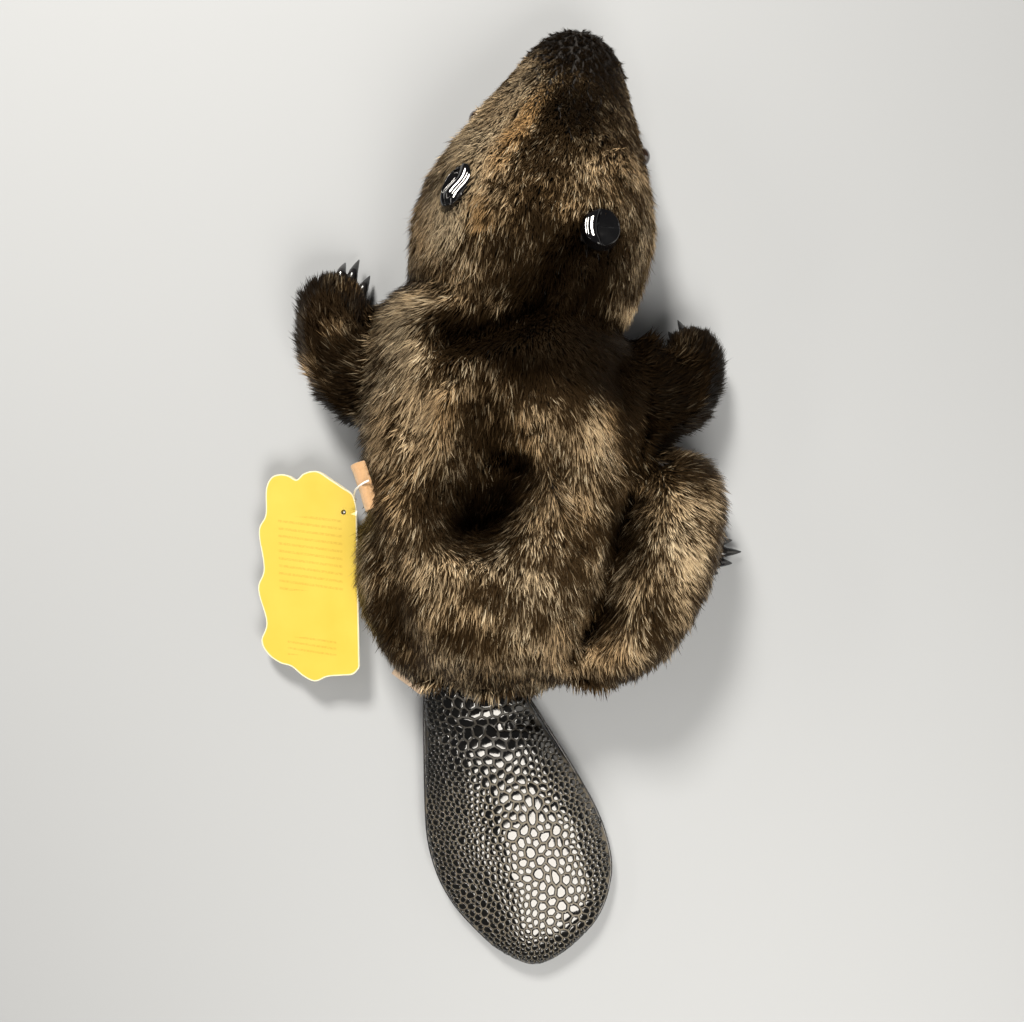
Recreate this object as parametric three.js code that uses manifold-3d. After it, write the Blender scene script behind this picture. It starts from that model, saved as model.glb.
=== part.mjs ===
// A plush beaver hand puppet lying on its belly: nose towards +Y, tail towards -Y, its right side towards
// +X. Millimetres, +Z up. The floor is z = 0. Every soft piece is a form swept along a spine over the floor
// and cut back from its neighbours by GAP. At the end the group is moved so that its box stands centred on
// the origin.
import * as THREE from 'three';
import { mergeVertices } from 'three/addons/utils/BufferGeometryUtils.js';
import Module from 'manifold-3d';

const wasm = await Module();
wasm.setup();

// ---------------------------------------------------------------- driving sizes
const GAP = 0.3;
const LINING = 1.2;
const CARD = 0.6;
const RIBBON = 1.2;
const BELOW = -6;
const UP = new THREE.Vector3(0, 0, 1);

const HEAD = { neck: [2, 85], lean: 13, length: 140, eyeAt: 87, eyeOut: 37.8, eyeHigh: 37, eyeRadius: 4.6 };
const TAIL = { root: [-18.6, -91], lean: -13.9, length: 134 };
const MOUTH = { at: [-9, -43], radii: [32, 31], high: 22 };
const TAG = { fold: [-72.8, -32], foldHigh: 17, slope: 16.5, opening: 4, turn: 1 };
const HOLE = { fromFold: 7.3, fromMiddle: 31.5, radius: 1.7 };
const CLAWS = 5;

// ---------------------------------------------------------------- solids from three.js geometry
function solid(geometry) {
  const bare = geometry.clone();
  bare.deleteAttribute('normal');
  bare.deleteAttribute('uv');
  const merged = mergeVertices(bare, 1e-4);
  return new wasm.Manifold(new wasm.Mesh({
    numProp: 3,
    vertProperties: new Float32Array(merged.attributes.position.array),
    triVerts: new Uint32Array(merged.index.array),
  }));
}

function fromSolid(body) {
  const mesh = body.getMesh();
  const geometry = new THREE.BufferGeometry();
  const points = new Float32Array(mesh.numVert * 3);
  for (let i = 0; i < mesh.numVert; i++) {
    for (let axis = 0; axis < 3; axis++) points[i * 3 + axis] = mesh.vertProperties[i * mesh.numProp + axis];
  }
  geometry.setAttribute('position', new THREE.BufferAttribute(points, 3));
  geometry.setIndex(new THREE.BufferAttribute(new Uint32Array(mesh.triVerts), 1));
  geometry.computeVertexNormals();
  return geometry;
}

// A value that runs smoothly through a list of stations, for t from 0 to 1.
function through(values) {
  if (typeof values === 'number') return () => values;
  const curve = new THREE.SplineCurve(values.map((value, i) => new THREE.Vector2(i, value)));
  return (t) => curve.getPoint(THREE.MathUtils.clamp(t, 0, 1)).y;
}

// How far a rounded end has opened, from 0 at its tip to 1 where it meets the full section.
function opened(distance, length, power) {
  if (distance >= length) return 1;
  return Math.pow(Math.max(0, 1 - Math.pow(1 - distance / length, power)), 1 / power);
}

// A closed form along a spine. left, right, up and down are its half sizes at each station, seen along
// the spine; ends are the rounded shares of its length; grow pushes the whole surface out.
function softForm({
  spine, left, right = left, up, down = up, ends = [0.5, 0.5], round = 2.1, power = 2.1,
  around = 16, rings = 12, dents = [], grow = 0, floor = 0,
}) {
  const curve = new THREE.CatmullRomCurve3(spine.map((p) => new THREE.Vector3(...p)), false, 'centripetal');
  const size = { left: through(left), right: through(right), up: through(up), down: through(down) };
  const ball = new THREE.SphereGeometry(1, around, rings);
  const place = ball.attributes.position;
  const lowest = grow > 0 ? floor + BELOW : floor;
  for (let i = 0; i < place.count; i++) {
    const polar = new THREE.Vector3().fromBufferAttribute(place, i);
    const t = (1 + polar.y) / 2;
    const ring = Math.hypot(polar.x, polar.z);
    const across = ring > 1e-6 ? polar.x / ring : 0;
    const lift = ring > 1e-6 ? polar.z / ring : 0;
    const centre = curve.getPoint(t);
    const along = curve.getTangent(t);
    const side = along.clone().cross(UP).normalize();
    const open = ring > 1e-6 ? opened(t, ends[0], round) * opened(1 - t, ends[1], round) : 0;
    const halfSide = (across > 0 ? size.right(t) : size.left(t)) * open + grow;
    const halfUp = (lift > 0 ? size.up(t) : size.down(t)) * open + grow;
    const bulge = (share) => Math.sign(share) * Math.pow(Math.abs(share), 2 / power);
    const point = centre.clone()
      .addScaledVector(along, grow * (2 * t - 1))
      .addScaledVector(side, halfSide * bulge(across))
      .addScaledVector(UP, halfUp * bulge(lift));
    for (const dent of dents) {
      const away = Math.hypot((point.x - dent.at[0]) / dent.radii[0], (point.y - dent.at[1]) / dent.radii[1]);
      point.z *= 1 - dent.share * Math.exp(-away * away);
    }
    place.setXYZ(i, point.x, point.y, Math.max(point.z, lowest));
  }
  return solid(ball);
}

// A flat outline raised from one height to another.
function slab(outline, low, high, curveSegments = 12) {
  const depth = high - low;
  const geometry = new THREE.ExtrudeGeometry(outline, { depth, bevelEnabled: false, curveSegments });
  return solid(geometry.translate(0, 0, low));
}

function ellipse(centre, radii, grow = 0) {
  const outline = new THREE.Shape();
  outline.absellipse(centre[0], centre[1], radii[0] + grow, radii[1] + grow, 0, Math.PI * 2);
  return outline;
}

function turned(x, y, z) {
  const angles = [x, y, z].map((angle) => THREE.MathUtils.degToRad(angle));
  return new THREE.Matrix4().makeRotationFromEuler(new THREE.Euler(...angles, 'ZYX'));
}

// A point so far along an axis that leans from +Y (or -Y when forward is -1), and so far to its +X side.
function onAxis(start, lean, along, out, forward = 1) {
  const angle = THREE.MathUtils.degToRad(lean);
  const way = [Math.sin(angle) * forward, Math.cos(angle) * forward];
  const side = [Math.cos(angle), -Math.sin(angle)];
  return [start[0] + way[0] * along + side[0] * out, start[1] + way[1] * along + side[1] * out];
}

// ---------------------------------------------------------------- trunk and the glove pocket inside it
const trunkForm = {
  spine: [
    [-14, -85, 25], [-12, -61, 28], [-11, -37, 30], [-9, -12, 30], [-6, 14, 29], [-4, 40, 29],
    [-3, 66, 29], [-2, 93, 28], [0, 119, 27],
  ],
  left: [34, 45, 52, 57, 63, 65, 63, 62, 56],
  right: [52, 51, 51, 57, 61, 64, 61, 52, 40],
  up: [22, 42, 49, 47, 44, 45, 45, 40, 30],
  down: [36, 42, 46, 46, 45, 44, 44, 40, 36],
  ends: [0.2, 0.24],
  round: 2.3,
  power: 2.3,
  around: 25,
  rings: 19,
  dents: [{ at: [-8, 8], radii: [24, 32], share: 0.36 }],
};
const trunkOuter = softForm(trunkForm);
const trunkTool = softForm({ ...trunkForm, grow: GAP });

const gloveForm = {
  spine: [[-10, -72, 21], [-9, -38, 22], [-6, -4, 22], [-4, 30, 22], [-3, 62, 21]],
  left: [28, 33, 31, 28, 22],
  up: [9, 11, 10.5, 10, 8],
  down: [9, 11, 10.5, 10, 8],
  ends: [0.16, 0.2],
  power: 2.6,
  around: 14,
  rings: 10,
  floor: -100,
};

function pocket(grow, bottom) {
  const glove = softForm({ ...gloveForm, grow });
  return glove.add(slab(ellipse(MOUTH.at, MOUTH.radii, grow), bottom, MOUTH.high, 10));
}
const trunk = trunkOuter.subtract(pocket(0, BELOW));
const liningOuter = pocket(-GAP, 1.2);
const lining = liningOuter.subtract(pocket(-GAP - LINING, BELOW));

// ---------------------------------------------------------------- head, eyes, nose, incisors and ears
function onHead(along, out, high) {
  return [...onAxis(HEAD.neck, HEAD.lean, along, out), high];
}

const headStations = [[-10, 30], [11, 32], [32, 33], [54, 32], [76, 29], [98, 27], [119, 26], [140, 26]];
const headForm = {
  spine: headStations.map(([along, high]) => onHead(along, 0, high)),
  left: [50, 55, 57, 56, 47, 36.5, 26, 18],
  right: [48, 51, 54, 53.5, 46, 36, 25.5, 18],
  up: [32, 41, 47, 48, 45, 36, 25, 16],
  down: [38, 40, 42, 40, 33, 25, 18, 13],
  ends: [0.18, 0.11],
  round: 2.2,
  power: 2.2,
  around: 20,
  rings: 15,
};
const headWhole = softForm(headForm);
const headTool = softForm({ ...headForm, grow: GAP });

function eyeball(sideways, grow) {
  const ball = new THREE.SphereGeometry(HEAD.eyeRadius + grow, 8, 6);
  return solid(ball.translate(...onHead(HEAD.eyeAt, sideways * HEAD.eyeOut, HEAD.eyeHigh)));
}

function nosePad(grow) {
  const pad = new THREE.SphereGeometry(1, 8, 6);
  pad.scale(9.5 + grow, 5 + grow, 6.5 + grow);
  pad.rotateZ(THREE.MathUtils.degToRad(-HEAD.lean));
  return solid(pad.translate(...onHead(HEAD.length - 5.5, 0, 24)));
}

// Two flat incisors on one root, hanging below the muzzle's tip.
function incisors(grow) {
  const root = new THREE.BoxGeometry(9 + 2 * grow, 3 + 2 * grow, 5 + 2 * grow).translate(0, 0, 17);
  let pair = solid(root);
  for (const sideways of [-1, 1]) {
    const tooth = new THREE.CylinderGeometry(2.3 + grow, 1.9 + grow, 12 + 2 * grow, 8);
    tooth.scale(1, 1, 0.65);
    tooth.rotateX(Math.PI / 2);
    pair = pair.add(solid(tooth.translate(sideways * 2.35, 0, 11.5)));
  }
  const place = turned(0, 0, -HEAD.lean).setPosition(...onHead(HEAD.length - 11, 0, 0));
  return pair.transform(place.elements);
}

// A cupped ear: half a bowl that leans out from the head, its lower rim cut to the head.
function ear(along, out, high, tiltBack, tiltOut, turn) {
  const wall = 1.6;
  const bowl = new THREE.SphereGeometry(1, 9, 6);
  const outer = solid(bowl.clone().scale(9.5, 10.5, 8));
  const inner = solid(bowl.clone().scale(9.5 - wall, 10.5 - wall, 8 - wall).translate(0, 0, 0.8));
  const lid = solid(new THREE.BoxGeometry(40, 40, 20).translate(0, 0, 12.5));
  const place = turned(tiltBack, tiltOut, turn).setPosition(...onHead(along, out, high));
  return outer.subtract(inner).subtract(lid).transform(place.elements).subtract(headTool);
}
const earLeft = ear(46.5, -36.5, 72.5, -30, -26, -HEAD.lean);
const earRight = ear(41, 27.5, 77, -24, 18, -HEAD.lean);

const head = headWhole.subtract(trunkTool)
  .subtract(eyeball(-1, GAP))
  .subtract(eyeball(1, GAP))
  .subtract(nosePad(GAP))
  .subtract(incisors(GAP));

// ---------------------------------------------------------------- vinyl soles with their claws
// The sole lies flat on the floor; heading is its toes' way, in degrees from +Y towards +X.
function sole({ at, heading, radii, reach, fan, lift, grow = 0 }) {
  const thick = 2.4;
  const low = grow > 0 ? BELOW : 0;
  let piece = slab(ellipse([0, 0], radii, grow), low, thick + grow, 5);
  for (let i = 0; i < CLAWS; i++) {
    const share = (2 * i) / (CLAWS - 1) - 1;
    const turn = THREE.MathUtils.degToRad(share * fan);
    const way = [Math.sin(turn), Math.cos(turn)];
    const length = reach * (1 - 0.4 * Math.abs(share));
    const rise = lift * (1 - 0.5 * share * share);
    const start = [share * radii[0] * 0.7, radii[1] * (0.7 - 0.3 * share * share)];
    const point = (far, high) => [start[0] + way[0] * length * far, start[1] + way[1] * length * far, high];
    piece = piece.add(softForm({
      spine: [
        point(-0.5, 0.5),
        point(-0.1, 2 + 0.7 * rise),
        point(0.4, 3 + rise),
        point(1, 1.6 + 0.45 * rise),
      ],
      left: [2.6, 2.7, 2.5, 1.2],
      up: [2.4, 2.4, 2.2, 1.0],
      ends: [0.15, 0.4],
      around: 5,
      rings: 4,
      grow,
    }));
  }
  const place = turned(0, 0, -heading).setPosition(at[0], at[1], 0);
  return piece.transform(place.elements);
}
const soles = {
  fore_left: { at: [-83, 98], heading: 5, radii: [12.5, 14], reach: 16, fan: 14, lift: 13 },
  fore_right: { at: [86.5, 70], heading: -14, radii: [12.5, 13], reach: 15, fan: 14, lift: 11 },
  hind_left: { at: [-70, -33], heading: -98, radii: [11.5, 11], reach: 10, fan: 14, lift: 2 },
  hind_right: { at: [87, -20], heading: 90, radii: [12.5, 15], reach: 15.5, fan: 13, lift: 4 },
};

// ---------------------------------------------------------------- legs
const foreLegs = {
  left: {
    spine: [[-46, 66, 22], [-64, 66, 22], [-77, 75, 20], [-84, 92, 18], [-83, 113, 16]],
    left: [29, 29, 24.5, 19.5, 17],
    right: [26, 22, 15.5, 17, 17],
    up: [25, 24, 21, 18, 15],
    ends: [0.2, 0.26],
    around: 16,
    rings: 11,
  },
  right: {
    spine: [[46, 62, 22], [62, 60, 22], [76, 62, 20], [84, 72, 17], [85, 87.5, 15]],
    left: [26, 22, 14.5, 13, 14.5],
    right: [28, 31, 27, 18, 14.5],
    up: [25, 23, 20, 16.5, 14],
    ends: [0.2, 0.26],
    around: 16,
    rings: 10,
  },
};
const haunches = {
  left: {
    spine: [[-50, 16, 24], [-44, -32, 26], [-35, -82, 22]],
    left: [26, 28, 24],
    up: [34, 42, 34],
    around: 16,
    rings: 11,
  },
  right: {
    spine: [[82, 28, 24], [76, 2, 27], [68, -25, 28], [54, -52, 27], [30, -79, 24]],
    left: [20.5, 23, 25, 23.5, 19.5],
    up: [27, 33, 37, 34, 26],
    ends: [0.26, 0.32],
    round: 2.3,
    around: 16,
    rings: 12,
  },
};
const feet = {
  left: { spine: [[-40, -29, 10], [-60, -32, 10], [-76, -35, 8]], left: 14, up: [12, 11, 8] },
  right: { spine: [[64, -18, 12], [84, -19, 11], [103, -20, 8]], left: 14.5, up: [14, 13, 8] },
};
const haunchTools = {
  left: softForm({ ...haunches.left, grow: GAP }),
  right: softForm({ ...haunches.right, grow: GAP }),
};

function foreLeg(side) {
  return softForm(foreLegs[side])
    .subtract(trunkTool)
    .subtract(headTool)
    .subtract(haunchTools[side])
    .subtract(sole({ ...soles[`fore_${side}`], grow: GAP }));
}

function hindLeg(side) {
  return softForm(haunches[side])
    .add(softForm({ ...feet[side], around: 10, rings: 6 }))
    .subtract(trunkTool)
    .subtract(sole({ ...soles[`hind_${side}`], grow: GAP }));
}

// ---------------------------------------------------------------- tail
const tailStations = [
  [-20, 11], [2, 10.5], [24, 9.5], [46, 9], [68, 9], [90, 8.5], [112, 8], [TAIL.length, 7],
];
const tailForm = {
  spine: tailStations.map(([along, high]) => [...onAxis(TAIL.root, TAIL.lean, along, 0, -1), high]),
  // left and right are seen along the spine, which runs towards -Y
  left: [23, 25.5, 31.5, 41, 46.5, 47.5, 39.5, 20],
  right: [23, 25.5, 31, 37, 39.5, 36.5, 25.5, 12],
  up: [12, 11, 10, 10, 10, 9.5, 8.5, 6],
  down: 12,
  ends: [0.08, 0.1],
  power: 1.9,
  around: 16,
  rings: 15,
};
const tail = softForm(tailForm)
  .subtract(trunkTool)
  .subtract(haunchTools.left)
  .subtract(haunchTools.right);

// ---------------------------------------------------------------- labels, hang tag and its plastic loop
// A flat piece of ribbon: its length runs along one way, and it faces another.
function ribbon(size, centre, along, facing) {
  const long = new THREE.Vector3(...along).normalize();
  const wide = long.clone().cross(new THREE.Vector3(...facing)).normalize();
  const place = new THREE.Matrix4().makeBasis(wide, long, wide.clone().cross(long)).setPosition(...centre);
  return solid(new THREE.BoxGeometry(...size)).transform(place.elements);
}
const tailTool = softForm({ ...tailForm, grow: GAP });
const sideLabel = ribbon([10, 20.5, RIBBON], [-65.3, 10.8, 50.5], [-7, 18.5, -10], [-0.77, 0, 0.64])
  .subtract(trunkTool)
  .subtract(haunchTools.left);
const rumpLabel = ribbon([9, 17, RIBBON], [-49, -80, 13], [-0.81, 0.59, 0], [-0.14, -0.2, 0.97])
  .subtract(trunkTool)
  .subtract(haunchTools.left)
  .subtract(tailTool);

// One leaf of the card, lying to -X of its fold. Its lobes are named by where they swell and dip, from the
// fold's upper end round to its lower end.
const LEAF_LOBES = [
  [-2.4, 39.8], [-7, 43], [-13.1, 47], [-19.3, 51], [-23.4, 51.5], [-27.7, 50.3], [-31.2, 47.6],
  [-35.2, 49.6], [-39.4, 50.4], [-44.2, 49], [-47.2, 43.3], [-47.7, 31], [-51.4, 23], [-49.1, 5],
  [-52.3, -5], [-48.2, -21], [-51, -30], [-47.7, -36.4], [-41.6, -40.6], [-35.4, -42.4], [-29.6, -46.8],
  [-23.4, -49.3], [-16.9, -47], [-9.7, -46.3], [-3.7, -45.6],
];
function leafOutline() {
  const outline = new THREE.Shape();
  outline.moveTo(0.4, 32);
  outline.splineThru(LEAF_LOBES.map((point) => new THREE.Vector2(...point)));
  outline.lineTo(0.4, -41.8);
  outline.closePath();
  return outline;
}

function leaf(slope) {
  const hole = slab(ellipse([-HOLE.fromFold, HOLE.fromMiddle], [HOLE.radius, HOLE.radius]), -3, 3, 5);
  return slab(leafOutline(), 0, CARD, 2).subtract(hole).transform(turned(0, -slope, 0).elements);
}
const tagPlace = turned(0, 0, TAG.turn).setPosition(...TAG.fold, TAG.foldHigh);
const tag = leaf(TAG.slope)
  .add(leaf(TAG.slope - TAG.opening))
  .transform(tagPlace.elements);

// The plastic loop: a stub in the card's hole, a short bar under it, and a thread up to the side label.
const holeAt = new THREE.Vector3(-HOLE.fromFold, HOLE.fromMiddle, 0)
  .applyAxisAngle(new THREE.Vector3(0, 1, 0), THREE.MathUtils.degToRad(-TAG.slope + TAG.opening / 2))
  .applyMatrix4(tagPlace);
function byHole(x, y, z) {
  return holeAt.clone().add(new THREE.Vector3(x, y, z));
}
const loopPath = new THREE.CatmullRomCurve3([
  byHole(0, 0, 0.5),
  byHole(0, 0.2, -2.4),
  byHole(1.6, 3.4, -4.4),
  new THREE.Vector3(-75.6, 8.4, 15),
  new THREE.Vector3(-74.4, 10, 28),
  new THREE.Vector3(-73, 11.4, 42),
  new THREE.Vector3(-70.4, 12.4, 51),
  new THREE.Vector3(-66.4, 13, 53.6),
]);
function tube(path, radius, steps) {
  const section = new THREE.Shape();
  section.absarc(0, 0, radius, 0, Math.PI * 2);
  return solid(new THREE.ExtrudeGeometry(section, { extrudePath: path, steps, curveSegments: 3 }));
}
const fastener = tube(loopPath, 0.6, 13)
  .add(tube(new THREE.LineCurve3(byHole(-3.4, 0.2, -2.8), byHole(3.4, 0.2, -2.8)), 0.7, 1));

// ---------------------------------------------------------------- named pieces
function material(color, roughness, metalness = 0) {
  return new THREE.MeshStandardMaterial({ color, roughness, metalness });
}
const finish = {
  fur: material(0x33241a, 0.9),
  vinyl: material(0x0b0b0c, 0.2),
  tailVinyl: material(0x1a1716, 0.3),
  eye: material(0x0a0705, 0.08),
  nose: material(0x120e0d, 0.5),
  felt: material(0xe8cf9c, 0.95),
  lining: material(0x6a4c34, 0.6),
  satin: material(0xd59a66, 0.45),
  card: material(0xf6dc55, 0.5),
  plastic: material(0xf1f1ee, 0.35),
};
const group = new THREE.Group();
function addPiece(name, body, look) {
  const mesh = new THREE.Mesh(fromSolid(body), look);
  mesh.name = name;
  group.add(mesh);
}
addPiece('trunk', trunk, finish.fur);
addPiece('pocket_lining', lining, finish.lining);
addPiece('head', head, finish.fur);
addPiece('eye_left', eyeball(-1, 0), finish.eye);
addPiece('eye_right', eyeball(1, 0), finish.eye);
addPiece('nose', nosePad(0), finish.nose);
addPiece('incisors', incisors(0), finish.felt);
addPiece('ear_left', earLeft, finish.vinyl);
addPiece('ear_right', earRight, finish.vinyl);
for (const side of ['left', 'right']) {
  addPiece(`foreleg_${side}`, foreLeg(side), finish.fur);
  addPiece(`hindleg_${side}`, hindLeg(side), finish.fur);
  addPiece(`foreclaws_${side}`, sole(soles[`fore_${side}`]), finish.vinyl);
  addPiece(`hindclaws_${side}`, sole(soles[`hind_${side}`]), finish.vinyl);
}
addPiece('tail', tail, finish.tailVinyl);
addPiece('side_label', sideLabel, finish.satin);
addPiece('rump_label', rumpLabel, finish.satin);
addPiece('hang_tag', tag, finish.card);
addPiece('tag_fastener', fastener, finish.plastic);

const box = new THREE.Box3().setFromObject(group);
const middle = box.getCenter(new THREE.Vector3());
group.position.set(-middle.x, -middle.y, -box.min.z);

export default group;
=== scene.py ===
# %% [markdown]
# # A plush beaver hand puppet
#
# The puppet is a limp fur glove with a stuffed head, paws and haunches. It lies on its belly with its back
# to us. The CAD solids fix every size and place. This lesson makes the looks around them: one fur skin with
# a combed coat, a scaly vinyl tail, cupped vinyl ears, claws, bead eyes, a cloth lining, labels and a tag.

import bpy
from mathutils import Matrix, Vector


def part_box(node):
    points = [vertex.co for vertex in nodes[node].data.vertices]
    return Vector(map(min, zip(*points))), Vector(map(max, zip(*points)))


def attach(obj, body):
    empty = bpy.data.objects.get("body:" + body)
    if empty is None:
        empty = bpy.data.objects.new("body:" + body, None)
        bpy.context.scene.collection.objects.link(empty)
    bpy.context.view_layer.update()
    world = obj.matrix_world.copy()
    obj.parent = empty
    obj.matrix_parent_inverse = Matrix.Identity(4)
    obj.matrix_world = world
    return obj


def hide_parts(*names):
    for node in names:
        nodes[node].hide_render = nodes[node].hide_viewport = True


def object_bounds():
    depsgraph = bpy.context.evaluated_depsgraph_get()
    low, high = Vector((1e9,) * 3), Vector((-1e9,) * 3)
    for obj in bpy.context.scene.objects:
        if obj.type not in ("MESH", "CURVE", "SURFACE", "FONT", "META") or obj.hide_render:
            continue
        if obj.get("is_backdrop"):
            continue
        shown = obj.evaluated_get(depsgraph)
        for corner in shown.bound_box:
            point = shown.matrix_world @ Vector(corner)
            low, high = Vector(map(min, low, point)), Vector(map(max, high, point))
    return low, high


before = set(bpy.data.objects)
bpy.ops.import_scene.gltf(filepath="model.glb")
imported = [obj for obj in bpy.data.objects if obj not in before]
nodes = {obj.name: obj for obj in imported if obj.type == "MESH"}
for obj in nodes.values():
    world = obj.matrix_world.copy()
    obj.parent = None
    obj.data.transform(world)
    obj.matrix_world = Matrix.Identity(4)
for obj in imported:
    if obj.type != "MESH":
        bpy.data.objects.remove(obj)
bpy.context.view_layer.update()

# %% Units and the puppet's own plan
import math

import bmesh
import bpy
import numpy as np
from mathutils import Euler, Matrix, Vector, noise
from mathutils.bvhtree import BVHTree
from mathutils.geometry import delaunay_2d_cdt

MM = 0.001
FLESH = ("trunk", "head", "foreleg_left", "foreleg_right", "hindleg_left", "hindleg_right")

# The head's axis starts at the neck, leans towards the right side, and carries the eyes.
HEAD_NECK, HEAD_LEAN, HEAD_LENGTH = (2, 85), math.radians(13), 140
EYE_AT, EYE_OUT, EYE_HIGH = 87, 37.8, 37


def on_head(along, out, high=0.0):
    """A plan point, in mm, so far along the head's axis and so far to its right."""
    lean, side = math.sin(HEAD_LEAN), math.cos(HEAD_LEAN)
    return (HEAD_NECK[0] + lean * along + side * out, HEAD_NECK[1] + side * along - lean * out, high)


def middle(node):
    low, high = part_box(node)
    return (low + high) / 2


# The CAD model stands centred in its box, so the plan's own origin is found from an eye.
ORIGIN = middle("eye_left") - Vector(on_head(EYE_AT, -EYE_OUT, EYE_HIGH)) * MM
ORIGIN.z = 0.0


def at(x, y, z=0.0):
    """A point of the plan, given in mm, as a place in the frame."""
    return ORIGIN + Vector((x, y, z)) * MM


print("plan origin, mm:", [round(v / MM, 2) for v in ORIGIN])

# %% [markdown]
# ## Camera, floor and light
#
# The puppet is seen from straight above, with its nose at the top of the picture. A wide floor catches the
# soft shadows. Long softboxes give vinyl its streaks: a gloss is only as good as what it mirrors.

# %% Camera
CAMERA_HIGH, LENS, SENSOR_WIDTH = 470, 33.4, 36.0


def link(name, data):
    made = bpy.data.objects.new(name, data)
    bpy.context.scene.collection.objects.link(made)
    return made


camera = link("camera", bpy.data.cameras.new("camera"))
camera.data.sensor_width = SENSOR_WIDTH
camera.data.lens = LENS
camera.data.clip_start, camera.data.clip_end = 0.01, 20.0
camera.location = at(0, 0, CAMERA_HIGH)
bpy.context.scene.camera = camera


# %% Floor and world
def new_material(name):
    made = bpy.data.materials.new(name)
    made.use_nodes = True
    return made, made.node_tree, made.node_tree.nodes["Principled BSDF"]


FLOOR_HALF, FLOOR_GREY, WORLD_STRENGTH = 3.0, (0.305, 0.32, 0.34), 0.10
pale_floor, tree, shader = new_material("pale_floor")
shader.inputs["Base Color"].default_value = (*FLOOR_GREY, 1)
shader.inputs["Roughness"].default_value = 0.85
floor_mesh = bpy.data.meshes.new("floor")
FLOOR_CORNERS = ((-1, -1), (1, -1), (1, 1), (-1, 1))
floor_mesh.from_pydata([(FLOOR_HALF * x, FLOOR_HALF * y, 0.0) for x, y in FLOOR_CORNERS], [], [(0, 1, 2, 3)])
floor_mesh.materials.append(pale_floor)
floor = link("floor", floor_mesh)
floor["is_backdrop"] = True

world = bpy.data.worlds.new("studio")
world.use_nodes = True
background = world.node_tree.nodes["Background"]
background.inputs["Color"].default_value = (1.0, 0.98, 0.95, 1)
background.inputs["Strength"].default_value = WORLD_STRENGTH
bpy.context.scene.world = world
bpy.context.scene.view_settings.view_transform = "Standard"


# %% Softboxes
LAMP_COLOUR = (1, 0.94, 0.85)


def softbox(name, place, aim, size, power):
    """A rectangular lamp: place and aim on the plan in mm, size in metres, power in watts."""
    lamp = bpy.data.lights.new(name, "AREA")
    lamp.shape = "RECTANGLE"
    lamp.size, lamp.size_y = size
    lamp.energy = power
    lamp.color = LAMP_COLOUR
    made = link(name, lamp)
    made.location = at(*place)
    made.rotation_mode = "QUATERNION"
    made.rotation_quaternion = (at(*aim) - made.location).to_track_quat("-Z", "Y")


softbox("key", (-260, 760, 820), (0, 20, 20), (0.24, 0.24), 21.5)
softbox("fill", (900, -60, 400), (0, 0, 20), (0.6, 0.8), 2.2)
softbox("streak", (-560, 170, 430), (0, 120, 70), (0.5, 0.07), 1.0)
softbox("tail_gloss", (152, -455, 610), (10, -150, 10), (0.42, 0.40), 7.6)


# %% [markdown]
# ## The skin
#
# A puppet's body is one sewn fur fabric. The six CAD forms of flesh are joined as a block of clay would be:
# each copy grows by more than half the gap between them, a voxel remesh melts them together, and smoothing
# takes the facets off. Folds are pressed in along short paths, which is how limp cloth over a hollow glove
# dents. Last, the whole surface sinks by the depth of its coat.

# %% Copies of the CAD forms
def merged(node, grow=0.0):
    """A bmesh of a CAD node with its loose triangles joined, grown by so many metres."""
    form = bmesh.new()
    form.from_mesh(nodes[node].data)
    bmesh.ops.remove_doubles(form, verts=form.verts, dist=1e-6)
    form.normal_update()
    for vertex in form.verts:
        vertex.co += vertex.normal * grow
    return form


def mesh_of(form, name):
    """Turns a bmesh into a smooth mesh, and frees it."""
    mesh = bpy.data.meshes.new(name)
    form.to_mesh(mesh)
    form.free()
    mesh.polygons.foreach_set("use_smooth", [True] * len(mesh.polygons))
    return mesh


def melted(name, forms, voxel, rounds):
    """One smooth closed mesh made of several closed forms."""
    whole = bmesh.new()
    for form in forms:
        part = mesh_of(form, "part")
        whole.from_mesh(part)
        bpy.data.meshes.remove(part)
    made = link(name, mesh_of(whole, name))
    remesh = made.modifiers.new("remesh", "REMESH")
    remesh.mode, remesh.voxel_size = "VOXEL", voxel
    smooth = made.modifiers.new("smooth", "SMOOTH")
    smooth.factor, smooth.iterations = 0.5, rounds
    return settled(made)


def settled(made):
    """Turns what an object's modifiers make into its plain mesh."""
    evaluated = made.evaluated_get(bpy.context.evaluated_depsgraph_get())
    mesh = bpy.data.meshes.new_from_object(evaluated)
    made.modifiers.clear()
    old, made.data = made.data, mesh
    mesh.name = made.name
    bpy.data.meshes.remove(old)
    mesh.polygons.foreach_set("use_smooth", [True] * len(mesh.polygons))
    return made


def covered(made, material):
    made.data.materials.clear()
    made.data.materials.append(material)


def placed(made, slot, *replaced):
    """Fixes a piece to the root and hides the CAD nodes it stands for. Its slot is not used."""
    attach(made, "root")
    if replaced:
        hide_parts(*replaced)


SKIN_VOXEL, JOIN, SKIN_ROUNDS = 1.8 * MM, 0.6 * MM, 22
# Webs of skin close the corners where a leg meets the trunk: each is a soft lump, its middle and half sizes.
WEBS = [((57, 27, 20), (14, 10, 17)), ((27, -70, 20), (14, 12, 18)), ((-57, 92, 20), (9, 9, 15))]


def lump(middle_at, half):
    form = bmesh.new()
    bmesh.ops.create_icosphere(form, subdivisions=3, radius=1.0)
    to_plan = Matrix.LocRotScale(at(*middle_at), None, Vector(half) * MM)
    bmesh.ops.transform(form, matrix=to_plan, verts=form.verts)
    return form


flesh_forms = [merged(node, JOIN) for node in FLESH] + [lump(*web) for web in WEBS]
skin = melted("skin", flesh_forms, SKIN_VOXEL, SKIN_ROUNDS)
print("skin faces:", len(skin.data.polygons))


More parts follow.
